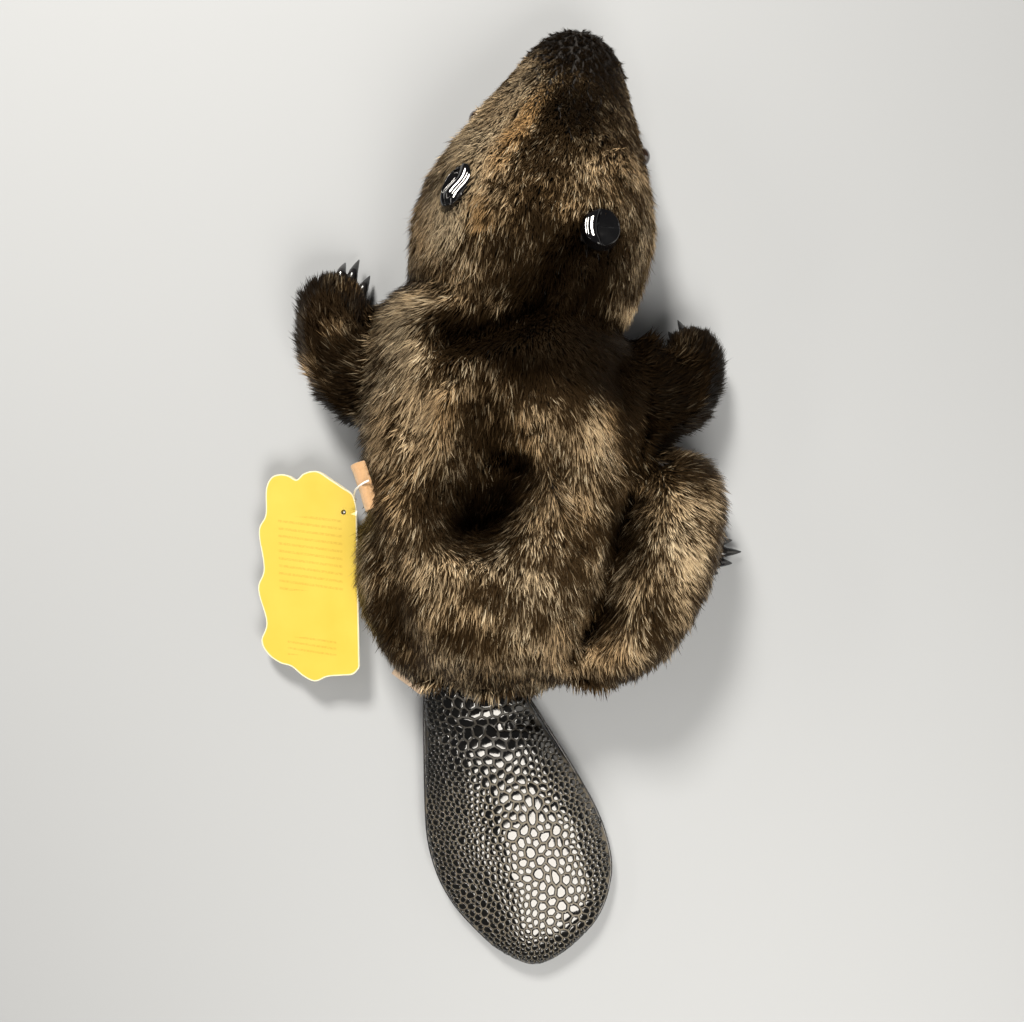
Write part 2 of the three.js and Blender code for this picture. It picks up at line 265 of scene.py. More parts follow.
# %% Points and neighbours as arrays
def read(source, field, width, kind=np.float32):
    """A field of a mesh's vertices, edges, corners or faces as an array with so many columns."""
    values = np.empty(len(source) * width, kind)
    source.foreach_get(field, values)
    return values.reshape(-1, width)


def points_of(mesh):
    return read(mesh.vertices, "co", 3).astype(float)


def normals_of(mesh):
    return read(mesh.vertices, "normal", 3).astype(float)


def corners_of(mesh):
    """The vertex at each corner of each face."""
    return read(mesh.loops, "vertex_index", 1, np.int32)[:, 0]


def set_points(mesh, points):
    mesh.vertices.foreach_set("co", points.astype(np.float32).ravel())
    mesh.update()


def averaged(values, ends, rounds):
    """Each value drawn towards the mean of its neighbours, so many times."""
    count = np.bincount(ends.ravel(), minlength=len(values)).astype(float)[:, None]
    flat = values.reshape(len(values), -1).astype(float)
    for _ in range(rounds):
        total = np.zeros_like(flat)
        np.add.at(total, ends[:, 0], flat[ends[:, 1]])
        np.add.at(total, ends[:, 1], flat[ends[:, 0]])
        flat = 0.5 * flat + 0.5 * total / np.maximum(count, 1)
    return flat.reshape(values.shape)


def unit(vectors):
    return vectors / np.maximum(np.linalg.norm(vectors, axis=-1, keepdims=True), 1e-9)


def ramp(values, low, high):
    """0 at low and 1 at high, eased at both ends."""
    share = np.clip((values - low) / (high - low), 0, 1)
    return share * share * (3 - 2 * share)


def plan_of(points):
    """Frame points in metres as plan points in mm."""
    return (points - np.array(ORIGIN)) / MM


# %% Where each patch of skin belongs
def distances_to(points, node):
    form = merged(node)
    tree = BVHTree.FromBMesh(form)
    form.free()
    return np.array([tree.find_nearest(Vector(p))[3] for p in points]) / MM


POCKET_REACH = 2.2
ends = read(skin.data.edges, "vertices", 2, np.int32)
start = points_of(skin.data)
away = {node: distances_to(start, node) for node in (*FLESH, "pocket_lining")}
belongs = np.argmin([away[node] for node in FLESH], axis=0)
in_pocket = away["pocket_lining"] < POCKET_REACH
print("vertices in the pocket:", int(in_pocket.sum()))

# %% Folds in the limp body
# Each fold follows a path over the plan: points (x, y), with its half width and its height in mm. A
# negative height presses in. The first three make the hollow where no hand fills the glove.
FOLDS = (
    ([(-4, 54), (-11, 33), (-15, 8)], 15, -11),
    ([(-2, 20), (-8, 7), (-15, -5)], 9.5, -16),
    ([(-27, 20), (-31, 6), (-27, -4)], 7, -3),
    ([(-24, -22), (0, -14), (13, 6)], 8, 3.5),
    ([(-27, 50), (-31, 38), (-28, 22)], 6, 5),
    ([(-24, 60), (-35, 50), (-42, 37)], 3.5, -4),
    ([(-3, 54), (10, 38), (15, 18), (21, 2)], 6, 4),
    ([(10, 38), (22, 17), (28, -4), (30, -12)], 3.5, -5),
    ([(30, 58), (34, 36), (38, 18)], 7, 3),
    ([(56, 8), (48, -12), (41, -38), (37, -48), (27, -60)], 6, -8),
    ([(40, -42), (37, -52)], 6, -7),
    ([(49, 64), (49, 42), (50, 22)], 5, -6),
    ([(12, -22), (14, -44)], 17, 5),
    ([(-55, -18), (-52, -38), (-46, -56)], 4.5, -4.5),
    ([(-36, -10), (-34, -40)], 9, 2.5),
    ([(-20, -62), (20, -68), (52, -58)], 9, 3),
    ([(-26, 75), (-10, 80), (6, 87), (17, 100), (27, 113)], 7, -10.5),
    ([(40, 86), (26, 94)], 9, -4),
    ([(-42, 84), (-30, 92), (-12, 96)], 7, 4),
)


STEEP_BELOW, STEEP, SOFT = -12, 3.2, 2


def fold_relief(plan):
    """How far the folds raise the cloth at plan points, in mm. Deep dents have steep sides."""
    relief = np.zeros(len(plan))
    for path, width, height in FOLDS:
        nearest = np.full(len(plan), np.inf)
        for a, b in zip(np.array(path[:-1], float), np.array(path[1:], float)):
            along = np.clip(((plan[:, :2] - a) @ (b - a)) / ((b - a) @ (b - a)), 0, 1)
            nearest = np.minimum(nearest, np.linalg.norm(plan[:, :2] - a - along[:, None] * (b - a), axis=1))
        relief += height * np.exp(-((nearest / width) ** (STEEP if height < STEEP_BELOW else SOFT)))
    return relief


def rumple(plan, size, seed):
    """Soft unevenness, from -1 to 1, of the given size in mm."""
    return np.array([noise.noise(Vector(p) / size + Vector((seed, 0, 0))) for p in plan])


# Folds start at one height and are full at another, in mm. Between them the cloth is a little uneven too.
FOLDS_FROM, FOLDS_FULL, UNEVEN, UNEVEN_SIZE, FLOOR_OF_HOLLOW = 18, 40, 0.8, 22, 38.0
plan = plan_of(start)
facing = normals_of(skin.data)
on_top = ramp(plan[:, 2], FOLDS_FROM, FOLDS_FULL) * ramp(facing[:, 2], -0.1, 0.45) * ~in_pocket
relief = fold_relief(plan)
shaped = start.copy()
shaped[:, 2] += MM * on_top * (relief + UNEVEN * rumple(plan, UNEVEN_SIZE, 3.1))
low = on_top > 0.2
shaped[low, 2] = np.maximum(shaped[low, 2], FLOOR_OF_HOLLOW * MM * ramp(on_top[low], 0.2, 0.9))
set_points(skin.data, np.where(in_pocket[:, None], start, averaged(shaped, ends, 2)))
print("deepest fold, mm:", round(float(relief.min()), 1), "highest:", round(float(relief.max()), 1))

# %% The lie and length of the coat
# The nap runs from the nose back over the head, and from the nape over the back and haunches. On the limbs
# it runs to the toes. Its length is shortest on the muzzle and paws.
points = points_of(skin.data)
facing = normals_of(skin.data)
plan = plan_of(points)
is_in = {node: belongs == i for i, node in enumerate(FLESH)}
nose_tip, nape = np.array(on_head(HEAD_LENGTH + 8, 0, 30)), np.array((-2.0, 120.0, 60.0))
LIMB_WAYS = {
    "foreleg_left": [(-46, 62), (-72, 60), (-84, 90), (-83, 122)],
    "foreleg_right": [(46, 60), (70, 50), (84, 68), (85, 96)],
}
LIMB_PULL, DROOP, NAP_ROUNDS = 22, 0.35, 14
nap = unit(plan - nape)
nap[is_in["head"]] = unit(plan - nose_tip)[is_in["head"]]
for node, path in LIMB_WAYS.items():
    path = np.array(path, float)
    steps = path[1:] - path[:-1]
    mids = (path[1:] + path[:-1]) / 2
    pull = np.exp(-(np.linalg.norm(plan[:, None, :2] - mids[None], axis=2) / LIMB_PULL) ** 2)
    way = np.concatenate([pull @ unit(steps), np.full((len(plan), 1), -0.15)], axis=1)
    nap[is_in[node]] = unit(way)[is_in[node]]
nap[:, 2] -= DROOP * ramp(plan[:, 2], 55, 15)
nap = averaged(nap, ends, NAP_ROUNDS)
nap -= facing * (nap * facing).sum(1, keepdims=True)
nap = unit(nap)

def head_axes(plan):
    """How far plan points are along the head's axis, and how far to its right, in mm."""
    lean, side = math.sin(HEAD_LEAN), math.cos(HEAD_LEAN)
    dx, dy = plan[:, 0] - HEAD_NECK[0], plan[:, 1] - HEAD_NECK[1]
    return dx * lean + dy * side, dx * side - dy * lean


def near(reach, *names):
    """1 at any of some CAD nodes, falling to 0 at reach mm from it."""
    return np.max([1 - ramp(distances_to(points, node), 0, reach) for node in names], axis=0)


BODY_PILE, HEAD_PILE, MUZZLE_LOSS = 10.2, 8.6, 5.0
along_head, across_head = head_axes(plan)
pile = np.full(len(plan), BODY_PILE)
pile = np.where(is_in["head"], HEAD_PILE - MUZZLE_LOSS * ramp(along_head, 60, 128), pile)
pile *= 1 - 0.6 * near(20, "foreclaws_left", "foreclaws_right", "hindclaws_left", "hindclaws_right")
pile *= 1 - 0.45 * near(9, "eye_left", "eye_right", "nose")
pile *= 1 - 0.35 * near(7, "ear_left", "ear_right")
at_tag = near(14, "hang_tag")
pile *= 1 - 0.75 * at_tag
pile = averaged(pile, ends, 8)
print("pile, mm:", round(pile.min(), 1), "to", round(pile.max(), 1))

# %% Markings with painted light and shade, the same for skin and coat
# Frost is the share of locks with a pale tip, dusk darkens them all, and warm turns pale tips to tan. Frost
# also carries painted light on lit patches, and dusk carries painted shade in folds, grooves and shaded sides.
# Each
# mark is a soft patch: its middle, half sizes, turn in degrees, and what it adds to frost, dusk and warm.
MARKS_AND_PAINTED_LIGHT = {
    "muzzle top": ((30, 186), (19, 27), 13, (-0.40, 0.85, 0.1)),
    "nose end": ((34, 212), (24, 13), 13, (-0.4, 0.9, 0.0)),
    # painted highlight: the lit left cheek gets many pale tips and less dusk
    "left cheek": ((-12, 161), (13, 40), 32, (0.75, -0.5, -0.3)),
    "tan stripe": ((5, 166), (5, 26), 32, (0.35, -0.3, 0.9)),
    "right cheek": ((57, 152), (9, 34), 6, (0.02, 0.05, 0.0)),
    "crown": ((18, 145), (22, 34), 13, (-0.08, 0.12, 0.3)),
    "below left ear": ((-30, 122), (8, 11), 0, (0.42, -0.2, -0.6)),
    "beside left ear": ((-12, 126), (6, 10), 0, (0.3, -0.2, 0.8)),
    "crown back": ((2, 112), (17, 16), 0, (-0.16, 0.34, 0.2)),
    # painted shade: dusk behind and under the right ear, in the nape groove, and on the shaded right shoulder
    # and arm
    "behind right ear": ((40, 100), (18, 17), 40, (-0.3, 0.6, 0.0)),
    "left nape": ((-38, 108), (13, 19), 0, (0.10, 0.05, 0.2)),
    "nape groove": ((2, 76), (40, 9), 12, (-0.4, 0.9, 0.0)),
    "throat of right ear": ((25, 100), (8, 26), 38, (-0.4, 0.8, 0.0)),
    "right shoulder": ((30, 70), (27, 17), 0, (-0.4, 0.85, 0.0)),
    "right arm": ((52, 50), (12, 24), 0, (-0.25, 0.5, 0.3)),
    # painted highlight: the lit left shoulder, neck tufts and rim, and the right back's ridge, get more pale
    # tips
    "left shoulder": ((-48, 56), (17, 34), 0, (0.34, -0.25, -0.2)),
    "left neck tufts": ((-44, 88), (18, 10), -20, (0.34, -0.1, -0.2)),
    "left rim": ((-28, 42), (8, 13), 20, (0.38, -0.3, 0.5)),
    "right back": ((37, 38), (10, 22), -12, (0.35, -0.25, 0.0)),
    "hollow": ((-6, 36), (14, 22), 0, (0.08, 0.0, 0.6)),
    # painted shade: dusk in the pit of the hollow
    "pit": ((-9, 6), (8, 16), 27, (-0.5, 0.8, 0.0)),
    "lower back": ((3, -30), (26, 22), 0, (-0.02, 0.0, -0.1)),
    "below pit": ((4, -16), (22, 9), -25, (-0.16, 0.12, 0.0)),
    "left of pit": ((-29, 3), (10, 15), 15, (-0.1, 0.38, -0.3)),
    "haunch gap": ((39, -46), (8, 13), -25, (0.25, -0.15, 0.3)),
    # painted shade: dusk in the valley between the back and the haunch
    "haunch valley": ((51, -10), (6, 30), -20, (-0.3, 0.45, 0.0)),
    "rump": ((8, -62), (45, 12), 0, (0.2, -0.1, 0.0)),
    "right haunch": ((66, -18), (20, 32), 0, (0.26, -0.16, -0.2)),
    "knee": ((62, 10), (20, 11), -35, (-0.10, 0.22, 0.5)),
    "haunch foot": ((66, -45), (18, 12), 30, (-0.12, 0.15, 0.1)),
    "left elbow": ((-94, 60), (7, 9), 0, (0.5, -0.7, 0.3)),
    "left wrist": ((-72, 103), (6, 7), 0, (0.25, -0.4, 0.5)),
    "left forearm": ((-80, 78), (6, 6), 0, (0.25, -0.4, 0.5)),
    "right paw fringe": ((66, 91), (16, 6), 0, (0.8, -0.9, -0.2)),
    "left hip": ((-52, -38), (14, 28), 0, (-0.10, 0.22, 0.1)),
}


def soft_patch(middle_at, half, turn):
    """1 in the middle of an ellipse on the plan, falling smoothly to 0 past its rim."""
    turn = math.radians(turn)
    dx, dy = plan[:, 0] - middle_at[0], plan[:, 1] - middle_at[1]
    u = (dx * math.cos(turn) - dy * math.sin(turn)) / half[0]
    v = (dx * math.sin(turn) + dy * math.cos(turn)) / half[1]
    return np.exp(-((u * u + v * v) ** 1.5) * 0.9)


mottle = rumple(plan, 16, 7.7)
fine_mottle = rumple(plan, 6, 2.2)
forelegs = (is_in["foreleg_left"] | is_in["foreleg_right"]).astype(float)
# Painted shade: pressed-in folds lose pale tips and gain dusk, and raised folds gain a few pale tips as painted
# highlight.
fold_shade = ramp(-relief, 1.5, 11) * on_top
frost = 0.27 + 0.32 * mottle + 0.30 * fine_mottle
frost += -0.25 * forelegs - 0.2 * fold_shade + 0.1 * ramp(relief, 1, 5)
dusk = 0.12 - 0.22 * mottle - 0.12 * fine_mottle + 0.80 * forelegs + 0.30 * fold_shade
warm = 0.35 + 0.5 * rumple(plan, 24, 4.4)
for middle_at, half, turn, (more_frost, more_dusk, more_warm) in MARKS_AND_PAINTED_LIGHT.values():
    share = soft_patch(middle_at, half, turn)
    frost, dusk, warm = frost + more_frost * share, dusk + more_dusk * share, warm + more_warm * share
MOST = {"dusk": 0.97, "frost": 0.72, "warm": 0.97}
markings_and_painted_light = {name: np.clip(averaged(values, ends, 2), 0, MOST[name])
            for name, values in (("dusk", dusk), ("frost", frost), ("warm", warm))}
print("frosted locks:", round(float(markings_and_painted_light["frost"].mean()), 2))

# %% The skin sinks by its coat's depth
# The skin is bare in the pocket, at the nose and eyes, and under the ears. Each ear's bare spot is given by
# its shift towards the left and its full radius, in mm.
BARE_UNDER, BARE_EDGE = {"ear_left": (0.0, 4.5), "ear_right": (2.5, 6.0)}, 8.5
SINK_SHARE, TAG_SINK = 0.36, 2.4
depth = SINK_SHARE * pile + TAG_SINK * at_tag
depth = np.where((plan[:, 2] < 4) & (facing[:, 2] < -0.5), 1.0, depth)
depth[in_pocket] = 0.0
depth = averaged(depth, ends, 4) * ~in_pocket
bare = np.maximum(in_pocket.astype(float), ramp(-distances_to(points, "nose"), -2.2, -1.2))
from_eyes = np.minimum(distances_to(points, "eye_left"), distances_to(points, "eye_right"))
bare = np.maximum(bare, ramp(-from_eyes, -1.6, -0.8))
for node, (shift, full) in BARE_UNDER.items():
    spot = np.array(middle(node))[:2] - (shift * MM, 0)
    under_ear = np.linalg.norm(points[:, :2] - spot, axis=1) / MM
    bare = np.maximum(bare, 1 - ramp(under_ear, full, BARE_EDGE))
cover = averaged(1 - bare, ends, 1)
set_points(skin.data, points - facing * (depth * MM)[:, None])


def write_attribute(mesh, name, values, kind="FLOAT"):
    layer = mesh.attributes.new(name, kind, "POINT")
    layer.data.foreach_set("vector" if kind == "FLOAT_VECTOR" else "value", values.astype(np.float32).ravel())


write_attribute(skin.data, "nap", nap, "FLOAT_VECTOR")
write_attribute(skin.data, "pile", pile * MM)
UPPER_DENSITY, LOWER_SHARE = 3.0e6, 0.36
seen = LOWER_SHARE + (1 - LOWER_SHARE) * ramp(facing[:, 2], -0.35, 0.1)
write_attribute(skin.data, "cover", np.clip(cover, 0, 1) * seen)
for name, values in markings_and_painted_light.items():
    write_attribute(skin.data, name, values)


# %% [markdown]
# ## Fur materials
#
# Synthetic fur is dark at its root and frosted at the tip, and each hair is a smooth filament, so it glints.
# Skin and coat read the same three markings, which hold painted light and shade besides the coat's own colour,
# and send them through one group, Coat colour and painted light.

# %% Small helpers for node trees
def feed(tree, value, socket):
    """Links a node's output to an input, or gives the input a plain value."""
    if isinstance(value, bpy.types.NodeSocket):
        tree.links.new(value, socket)
    else:
        socket.default_value = value


def add(tree, kind, inputs=None, **settings):
    """A node with its settings, and with values or other sockets on its inputs, by name or number."""
    made = tree.nodes.new(kind)
    for name, value in settings.items():
        setattr(made, name, value)
    for key, value in (inputs or {}).items():
        feed(tree, value, made.inputs[key])
    return made


def group(name, kind, inputs, outputs):
    """A node group with named sockets, given as (name, socket type, default)."""
    tree = bpy.data.node_groups.new(name, kind)
    for socket, socket_type, default in inputs:
        made = tree.interface.new_socket(socket, in_out="INPUT", socket_type=socket_type)
        if default is not None:
            made.default_value = default
    for socket, socket_type in outputs:
        tree.interface.new_socket(socket, in_out="OUTPUT", socket_type=socket_type)
    return tree, tree.nodes.new("NodeGroupInput").outputs, tree.nodes.new("NodeGroupOutput").inputs


def mix(tree, share, a, b):
    made = add(tree, "ShaderNodeMix", {"Factor": share}, data_type="RGBA", blend_type="MIX")
    for key, value in ((6, a), (7, b)):
        feed(tree, (*value, 1) if isinstance(value, tuple) else value, made.inputs[key])
    return made.outputs[2]


def maths(tree, operation, a, b=0.0, clamp=False):
    return add(tree, "ShaderNodeMath", {0: a, 1: b}, operation=operation, use_clamp=clamp).outputs[0]


def times(tree, a, b):
    return maths(tree, "MULTIPLY", a, b)


def reading(tree, name):
    return add(tree, "ShaderNodeAttribute", attribute_name=name).outputs["Fac"]


def graded(tree, value, stops):
    """A value sent through a ramp of (place, grey or colour)."""
    made = add(tree, "ShaderNodeValToRGB", {"Fac": value})
    band = made.color_ramp
    while len(band.elements) < len(stops):
        band.elements.new(0.5)
    for element, (place, tone) in zip(band.elements, stops):
        element.position = place
        element.color = (*tone, 1) if isinstance(tone, tuple) else (tone, tone, tone, 1)
    return made.outputs[0]


def fine_noise(tree, scale, detail, **more):
    """Noise that stays with the object, as a value."""
    place = add(tree, "ShaderNodeTexCoord").outputs["Object"]
    inputs = {"Vector": place, "Scale": scale, "Detail": detail, **more}
    return add(tree, "ShaderNodeTexNoise", inputs).outputs["Fac"]


def painted(tree, shader, colour, rough, bump=None):
    """Gives a shader its colour and roughness, and a bump: its height, strength and distance in metres."""
    feed(tree, colour, shader.inputs["Base Color"])
    feed(tree, rough, shader.inputs["Roughness"])
    if bump:
        made = add(tree, "ShaderNodeBump", dict(zip(("Height", "Strength", "Distance"), bump)))
        tree.links.new(made.outputs["Normal"], shader.inputs["Normal"])


# %% The coat's colour with painted glints and shade, shared by skin and hair
ROOT_DARK = (0.004, 0.0022, 0.001)
HAIR_BROWN = (0.042, 0.025, 0.011)
TIP_GREY = (0.66, 0.53, 0.35)
TIP_TAN = (0.58, 0.36, 0.16)
PAINTED_GLINT_TIP = (0.86, 0.72, 0.50)
DUSKY = (0.005, 0.0026, 0.001)
coat_tree, given, out = group(
    "Coat colour", "ShaderNodeTree",
    [("Along", "NodeSocketFloat", 0.5), ("Shade", "NodeSocketFloat", 0.5)],
    [("Colour", "NodeSocketColor")])
along, shade = given["Along"], given["Shade"]
tips = mix(coat_tree, reading(coat_tree, "warm"), TIP_GREY, TIP_TAN)
# Painted glints: the brightest few locks get near-white tips.
tips = mix(coat_tree, graded(coat_tree, shade, [(0.80, 0.0), (0.95, 1.0)]), tips, PAINTED_GLINT_TIP)
chosen = maths(coat_tree, "SUBTRACT", maths(coat_tree, "ADD", shade, reading(coat_tree, "frost")), 0.8)
frosted = times(coat_tree, graded(coat_tree, along, [(0.2, 0.0), (0.8, 1.0)]),
                graded(coat_tree, chosen, [(0.0, 0.0), (0.4, 1.0)]))
body = mix(coat_tree, graded(coat_tree, along, [(0.1, 0.0), (0.7, 1.0)]), ROOT_DARK, HAIR_BROWN)
body = mix(coat_tree, frosted, body, tips)
body = mix(coat_tree, times(coat_tree, reading(coat_tree, "dusk"), 0.96), body, DUSKY)
coat_tree.links.new(body, out["Colour"])


# %% Hair and skin materials
hair_material, tree, shader = new_material("plush_hair")
coat = add(tree, "ShaderNodeGroup", node_tree=coat_tree)
tree.links.new(reading(tree, "along"), coat.inputs["Along"])
tree.links.new(reading(tree, "shade"), coat.inputs["Shade"])
painted(tree, shader, coat.outputs["Colour"],
        graded(tree, reading(tree, "shade"), [(0.0, 0.45), (1.0, 0.30)]))
shader.inputs["Specular IOR Level"].default_value = 0.07
shader.inputs["Specular Tint"].default_value = (1.0, 0.74, 0.46, 1)

skin_material, tree, shader = new_material("plush_backing")
pile_noise = fine_noise(tree, 900.0, 3.0)
coat = add(tree, "ShaderNodeGroup", node_tree=coat_tree)
tree.links.new(graded(tree, pile_noise, [(0.4, 0.0), (0.8, 0.6)]), coat.inputs["Along"])
tree.links.new(pile_noise, coat.inputs["Shade"])
painted(tree, shader, coat.outputs["Colour"], 0.75, (pile_noise, 0.7, 0.0006))
covered(skin, skin_material)
placed(skin, "fur", *FLESH)

# %% [markdown]
# ## The coat
#
# Real pile is thousands of fine hairs that part into small locks. Hair curves are lost when a model is
# exported, so each lock here is a thin closed spindle of four points. Geometry Nodes scatter the spindles
# over a patch of skin, lay them along the nap, and part them with two sizes of noise. Each patch of skin
# becomes one coat piece, so that no piece grows too heavy.

# %% One lock
LOCK_WIDTH = 0.62 * MM
# root, left, right and tip: across, up from the skin, and along the lock
LOCK_POINTS = [(0, 0, 0), (-0.5, 0.25, 0.45), (0.5, 0.25, 0.45), (0, 0.1, 1)]
LOCK_FACES = [(0, 1, 2), (1, 3, 2), (0, 3, 1), (0, 2, 3)]
lock_mesh = bpy.data.meshes.new("lock")
lock_mesh.from_pydata(LOCK_POINTS, [], LOCK_FACES)
lock_mesh.polygons.foreach_set("use_smooth", [True] * len(LOCK_FACES))
write_attribute(lock_mesh, "along", np.array([z for _, _, z in LOCK_POINTS]))
lock = link("lock", lock_mesh)

# %% The tree that combs
comb, given, out = group("Comb a coat", "GeometryNodeTree", [
    ("Skin", "NodeSocketGeometry", None),
    ("Lock", "NodeSocketObject", None),
    ("Density", "NodeSocketFloat", 2.0e6),
    ("Width", "NodeSocketFloat", LOCK_WIDTH),
    ("Lift", "NodeSocketFloat", 0.30),
    ("Wave", "NodeSocketFloat", 0.7),
    ("Clump", "NodeSocketFloat", 0.75),
    ("Clump size", "NodeSocketFloat", 4.2 * MM),
    ("Stray", "NodeSocketFloat", 0.26),
    ("Floor", "NodeSocketFloat", 0.3 * MM),
    ("Seed", "NodeSocketInt", 1),
    ("Material", "NodeSocketMaterial", None),
], [("Coat", "NodeSocketGeometry")])


def vector_maths(tree, operation, a, b=None, scale=None):
    made = add(tree, "ShaderNodeVectorMath", {0: a}, operation=operation)
    for key, value in ((1, b), ("Scale", scale)):
        if value is not None:
            feed(tree, value, made.inputs[key])
    return made.outputs["Value" if operation == "DOT_PRODUCT" else "Vector"]


def scaled(tree, vector, share):
    return vector_maths(tree, "SCALE", vector, scale=share)


def named(tree, name, kind):
    return add(tree, "GeometryNodeInputNamedAttribute", {"Name": name}, data_type=kind).outputs["Attribute"]


def centred_noise(tree, scale, detail=1.0):
    made = add(tree, "ShaderNodeTexNoise", {"Scale": scale, "Detail": detail})
    return vector_maths(tree, "SUBTRACT", made.outputs["Color"], (0.5, 0.5, 0.5))


def stray(tree, seed):
    made = add(tree, "FunctionNodeRandomValue", {0: (-1, -1, -1), 1: (1, 1, 1), "Seed": seed},
               data_type="FLOAT_VECTOR")
    return made.outputs[0]


def chance(tree, low, high, seed):
    return add(tree, "FunctionNodeRandomValue", {2: low, 3: high, "Seed": seed}, data_type="FLOAT").outputs[1]


def end_tree(tree, geometry, given, socket):
    """The last step of a tree: its geometry gets the given material and goes out."""
    finish = add(tree, "GeometryNodeSetMaterial", {"Geometry": geometry, "Material": given["Material"]})
    tree.links.new(finish.outputs[0], socket)


density = times(comb, given["Density"], named(comb, "cover", "FLOAT"))
roots = add(comb, "GeometryNodeDistributePointsOnFaces",
            {"Mesh": given["Skin"], "Density": density, "Seed": given["Seed"]})
facing_out = roots.outputs["Normal"]
way = vector_maths(comb, "ADD", named(comb, "nap", "FLOAT_VECTOR"),
                   scaled(comb, centred_noise(comb, 42.0), 1.1))
way = vector_maths(comb, "ADD", way, scaled(comb, centred_noise(comb, 150.0, 2.0), given["Wave"]))
# tips lean to the middle of their clump, so the clumps part and the dark roots show between them
root_at = add(comb, "GeometryNodeInputPosition").outputs[0]
clumps = add(comb, "ShaderNodeTexVoronoi", {"Vector": root_at, "Scale": maths(
    comb, "DIVIDE", 1.0, given["Clump size"])})
pile_here = named(comb, "pile", "FLOAT")
to_clump = vector_maths(comb, "SUBTRACT", clumps.outputs["Position"], root_at)
way = vector_maths(comb, "ADD", way, scaled(comb, to_clump, maths(
    comb, "DIVIDE", given["Clump"], pile_here)))
way = vector_maths(comb, "ADD", way, scaled(comb, stray(comb, given["Seed"]), given["Stray"]))
# what would point into the skin is taken out, and the lift put in
inward = scaled(comb, facing_out, times(
    comb, vector_maths(comb, "DOT_PRODUCT", way, facing_out), -0.8))
outward = scaled(comb, facing_out, times(comb, chance(comb, 0.4, 1.6, 5), given["Lift"]))
way = vector_maths(comb, "ADD", vector_maths(comb, "ADD", way, inward), outward)
way = vector_maths(comb, "NORMALIZE", way)
turn = add(comb, "FunctionNodeAlignRotationToVector", {"Vector": way}, axis="Z")
turn = add(comb, "FunctionNodeAlignRotationToVector", {"Rotation": turn.outputs[0], "Vector": facing_out},
           axis="Y", pivot_axis="Z")
length = times(comb, pile_here, chance(comb, 0.6, 1.15, 9))
width = times(comb, given["Width"], chance(comb, 0.55, 1.45, 13))
# short fur is finer fur
width = times(comb, width, maths(comb, "ADD", 0.4, times(comb, pile_here, 60.0)))
size = add(comb, "ShaderNodeCombineXYZ", {"X": width, "Y": width, "Z": length})
clump_shade = add(comb, "ShaderNodeSeparateXYZ", {0: clumps.outputs["Color"]}).outputs[0]
shade = maths(comb, "ADD", chance(comb, 0.0, 0.75, 17), times(comb, clump_shade, 0.25))
shaded = add(comb, "GeometryNodeStoreNamedAttribute",
             {"Geometry": roots.outputs["Points"], "Name": "shade", "Value": shade}, data_type="FLOAT")
locks = add(comb, "GeometryNodeInstanceOnPoints", {
    "Points": shaded.outputs[0],
    "Instance": add(comb, "GeometryNodeObjectInfo", {"Object": given["Lock"]}).outputs["Geometry"],
    "Rotation": turn.outputs[0],
    "Scale": size.outputs[0],
})
real = add(comb, "GeometryNodeRealizeInstances", {"Geometry": locks.outputs[0]})
position = add(comb, "GeometryNodeInputPosition").outputs[0]
split = add(comb, "ShaderNodeSeparateXYZ", {0: position})
lifted = add(comb, "ShaderNodeCombineXYZ", {
    "X": split.outputs[0], "Y": split.outputs[1],
    "Z": maths(comb, "MAXIMUM", split.outputs[2], given["Floor"])})
standing = add(comb, "GeometryNodeSetPosition", {"Geometry": real.outputs[0], "Position": lifted.outputs[0]})
end_tree(comb, standing.outputs[0], given, out["Coat"])


# %% Patches of skin
def face_values(mesh, values):
    """A vertex value averaged over each face."""
    totals = read(mesh.polygons, "loop_total", 1, np.int32)[:, 0]
    firsts = np.concatenate([[0], np.cumsum(totals)[:-1]])
    return np.add.reduceat(values[corners_of(mesh)].astype(float), firsts) / totals


# The trunk's coat is parted lengthwise near the spine, and across below the shoulders.
SPINE_X, WAIST_Y, KNEE_Y, TURNS_UNDER = -4, 26, -22, -0.05
face_up = face_values(skin.data, normals_of(skin.data)[:, 2])
face_x, face_y = (face_values(skin.data, plan[:, axis]) for axis in (0, 1))
face_in = {node: face_values(skin.data, is_in[node]) > 0.5 for node in FLESH}
left_over = ~np.any([face_in[node] for node in FLESH], axis=0)
upper = face_up > TURNS_UNDER
trunk_faces = face_in["trunk"] | left_over
face_across = face_values(skin.data, across_head)
crown, back = face_in["head"] & upper, trunk_faces & upper
on_left, at_front = face_x < SPINE_X, face_y > WAIST_Y
PATCHES = {
    "coat_crown_left": crown & (face_across < 0),
    "coat_crown_right": crown & (face_across >= 0),
    "coat_jaw": face_in["head"] & ~upper,
    "coat_shoulder_left": back & on_left & at_front,
    "coat_shoulder_right": back & ~on_left & at_front,
    "coat_back_left": back & on_left & ~at_front,
    "coat_back_right": back & ~on_left & ~at_front,
    "coat_belly": trunk_faces & ~upper,
    "coat_foreleg_left": face_in["foreleg_left"],
    "coat_foreleg_right": face_in["foreleg_right"],
    "coat_haunch_left": face_in["hindleg_left"],
    "coat_knee_right": face_in["hindleg_right"] & (face_y > KNEE_Y),
    "coat_haunch_right": face_in["hindleg_right"] & (face_y <= KNEE_Y),
}
BAKE_PATCH = 0.003


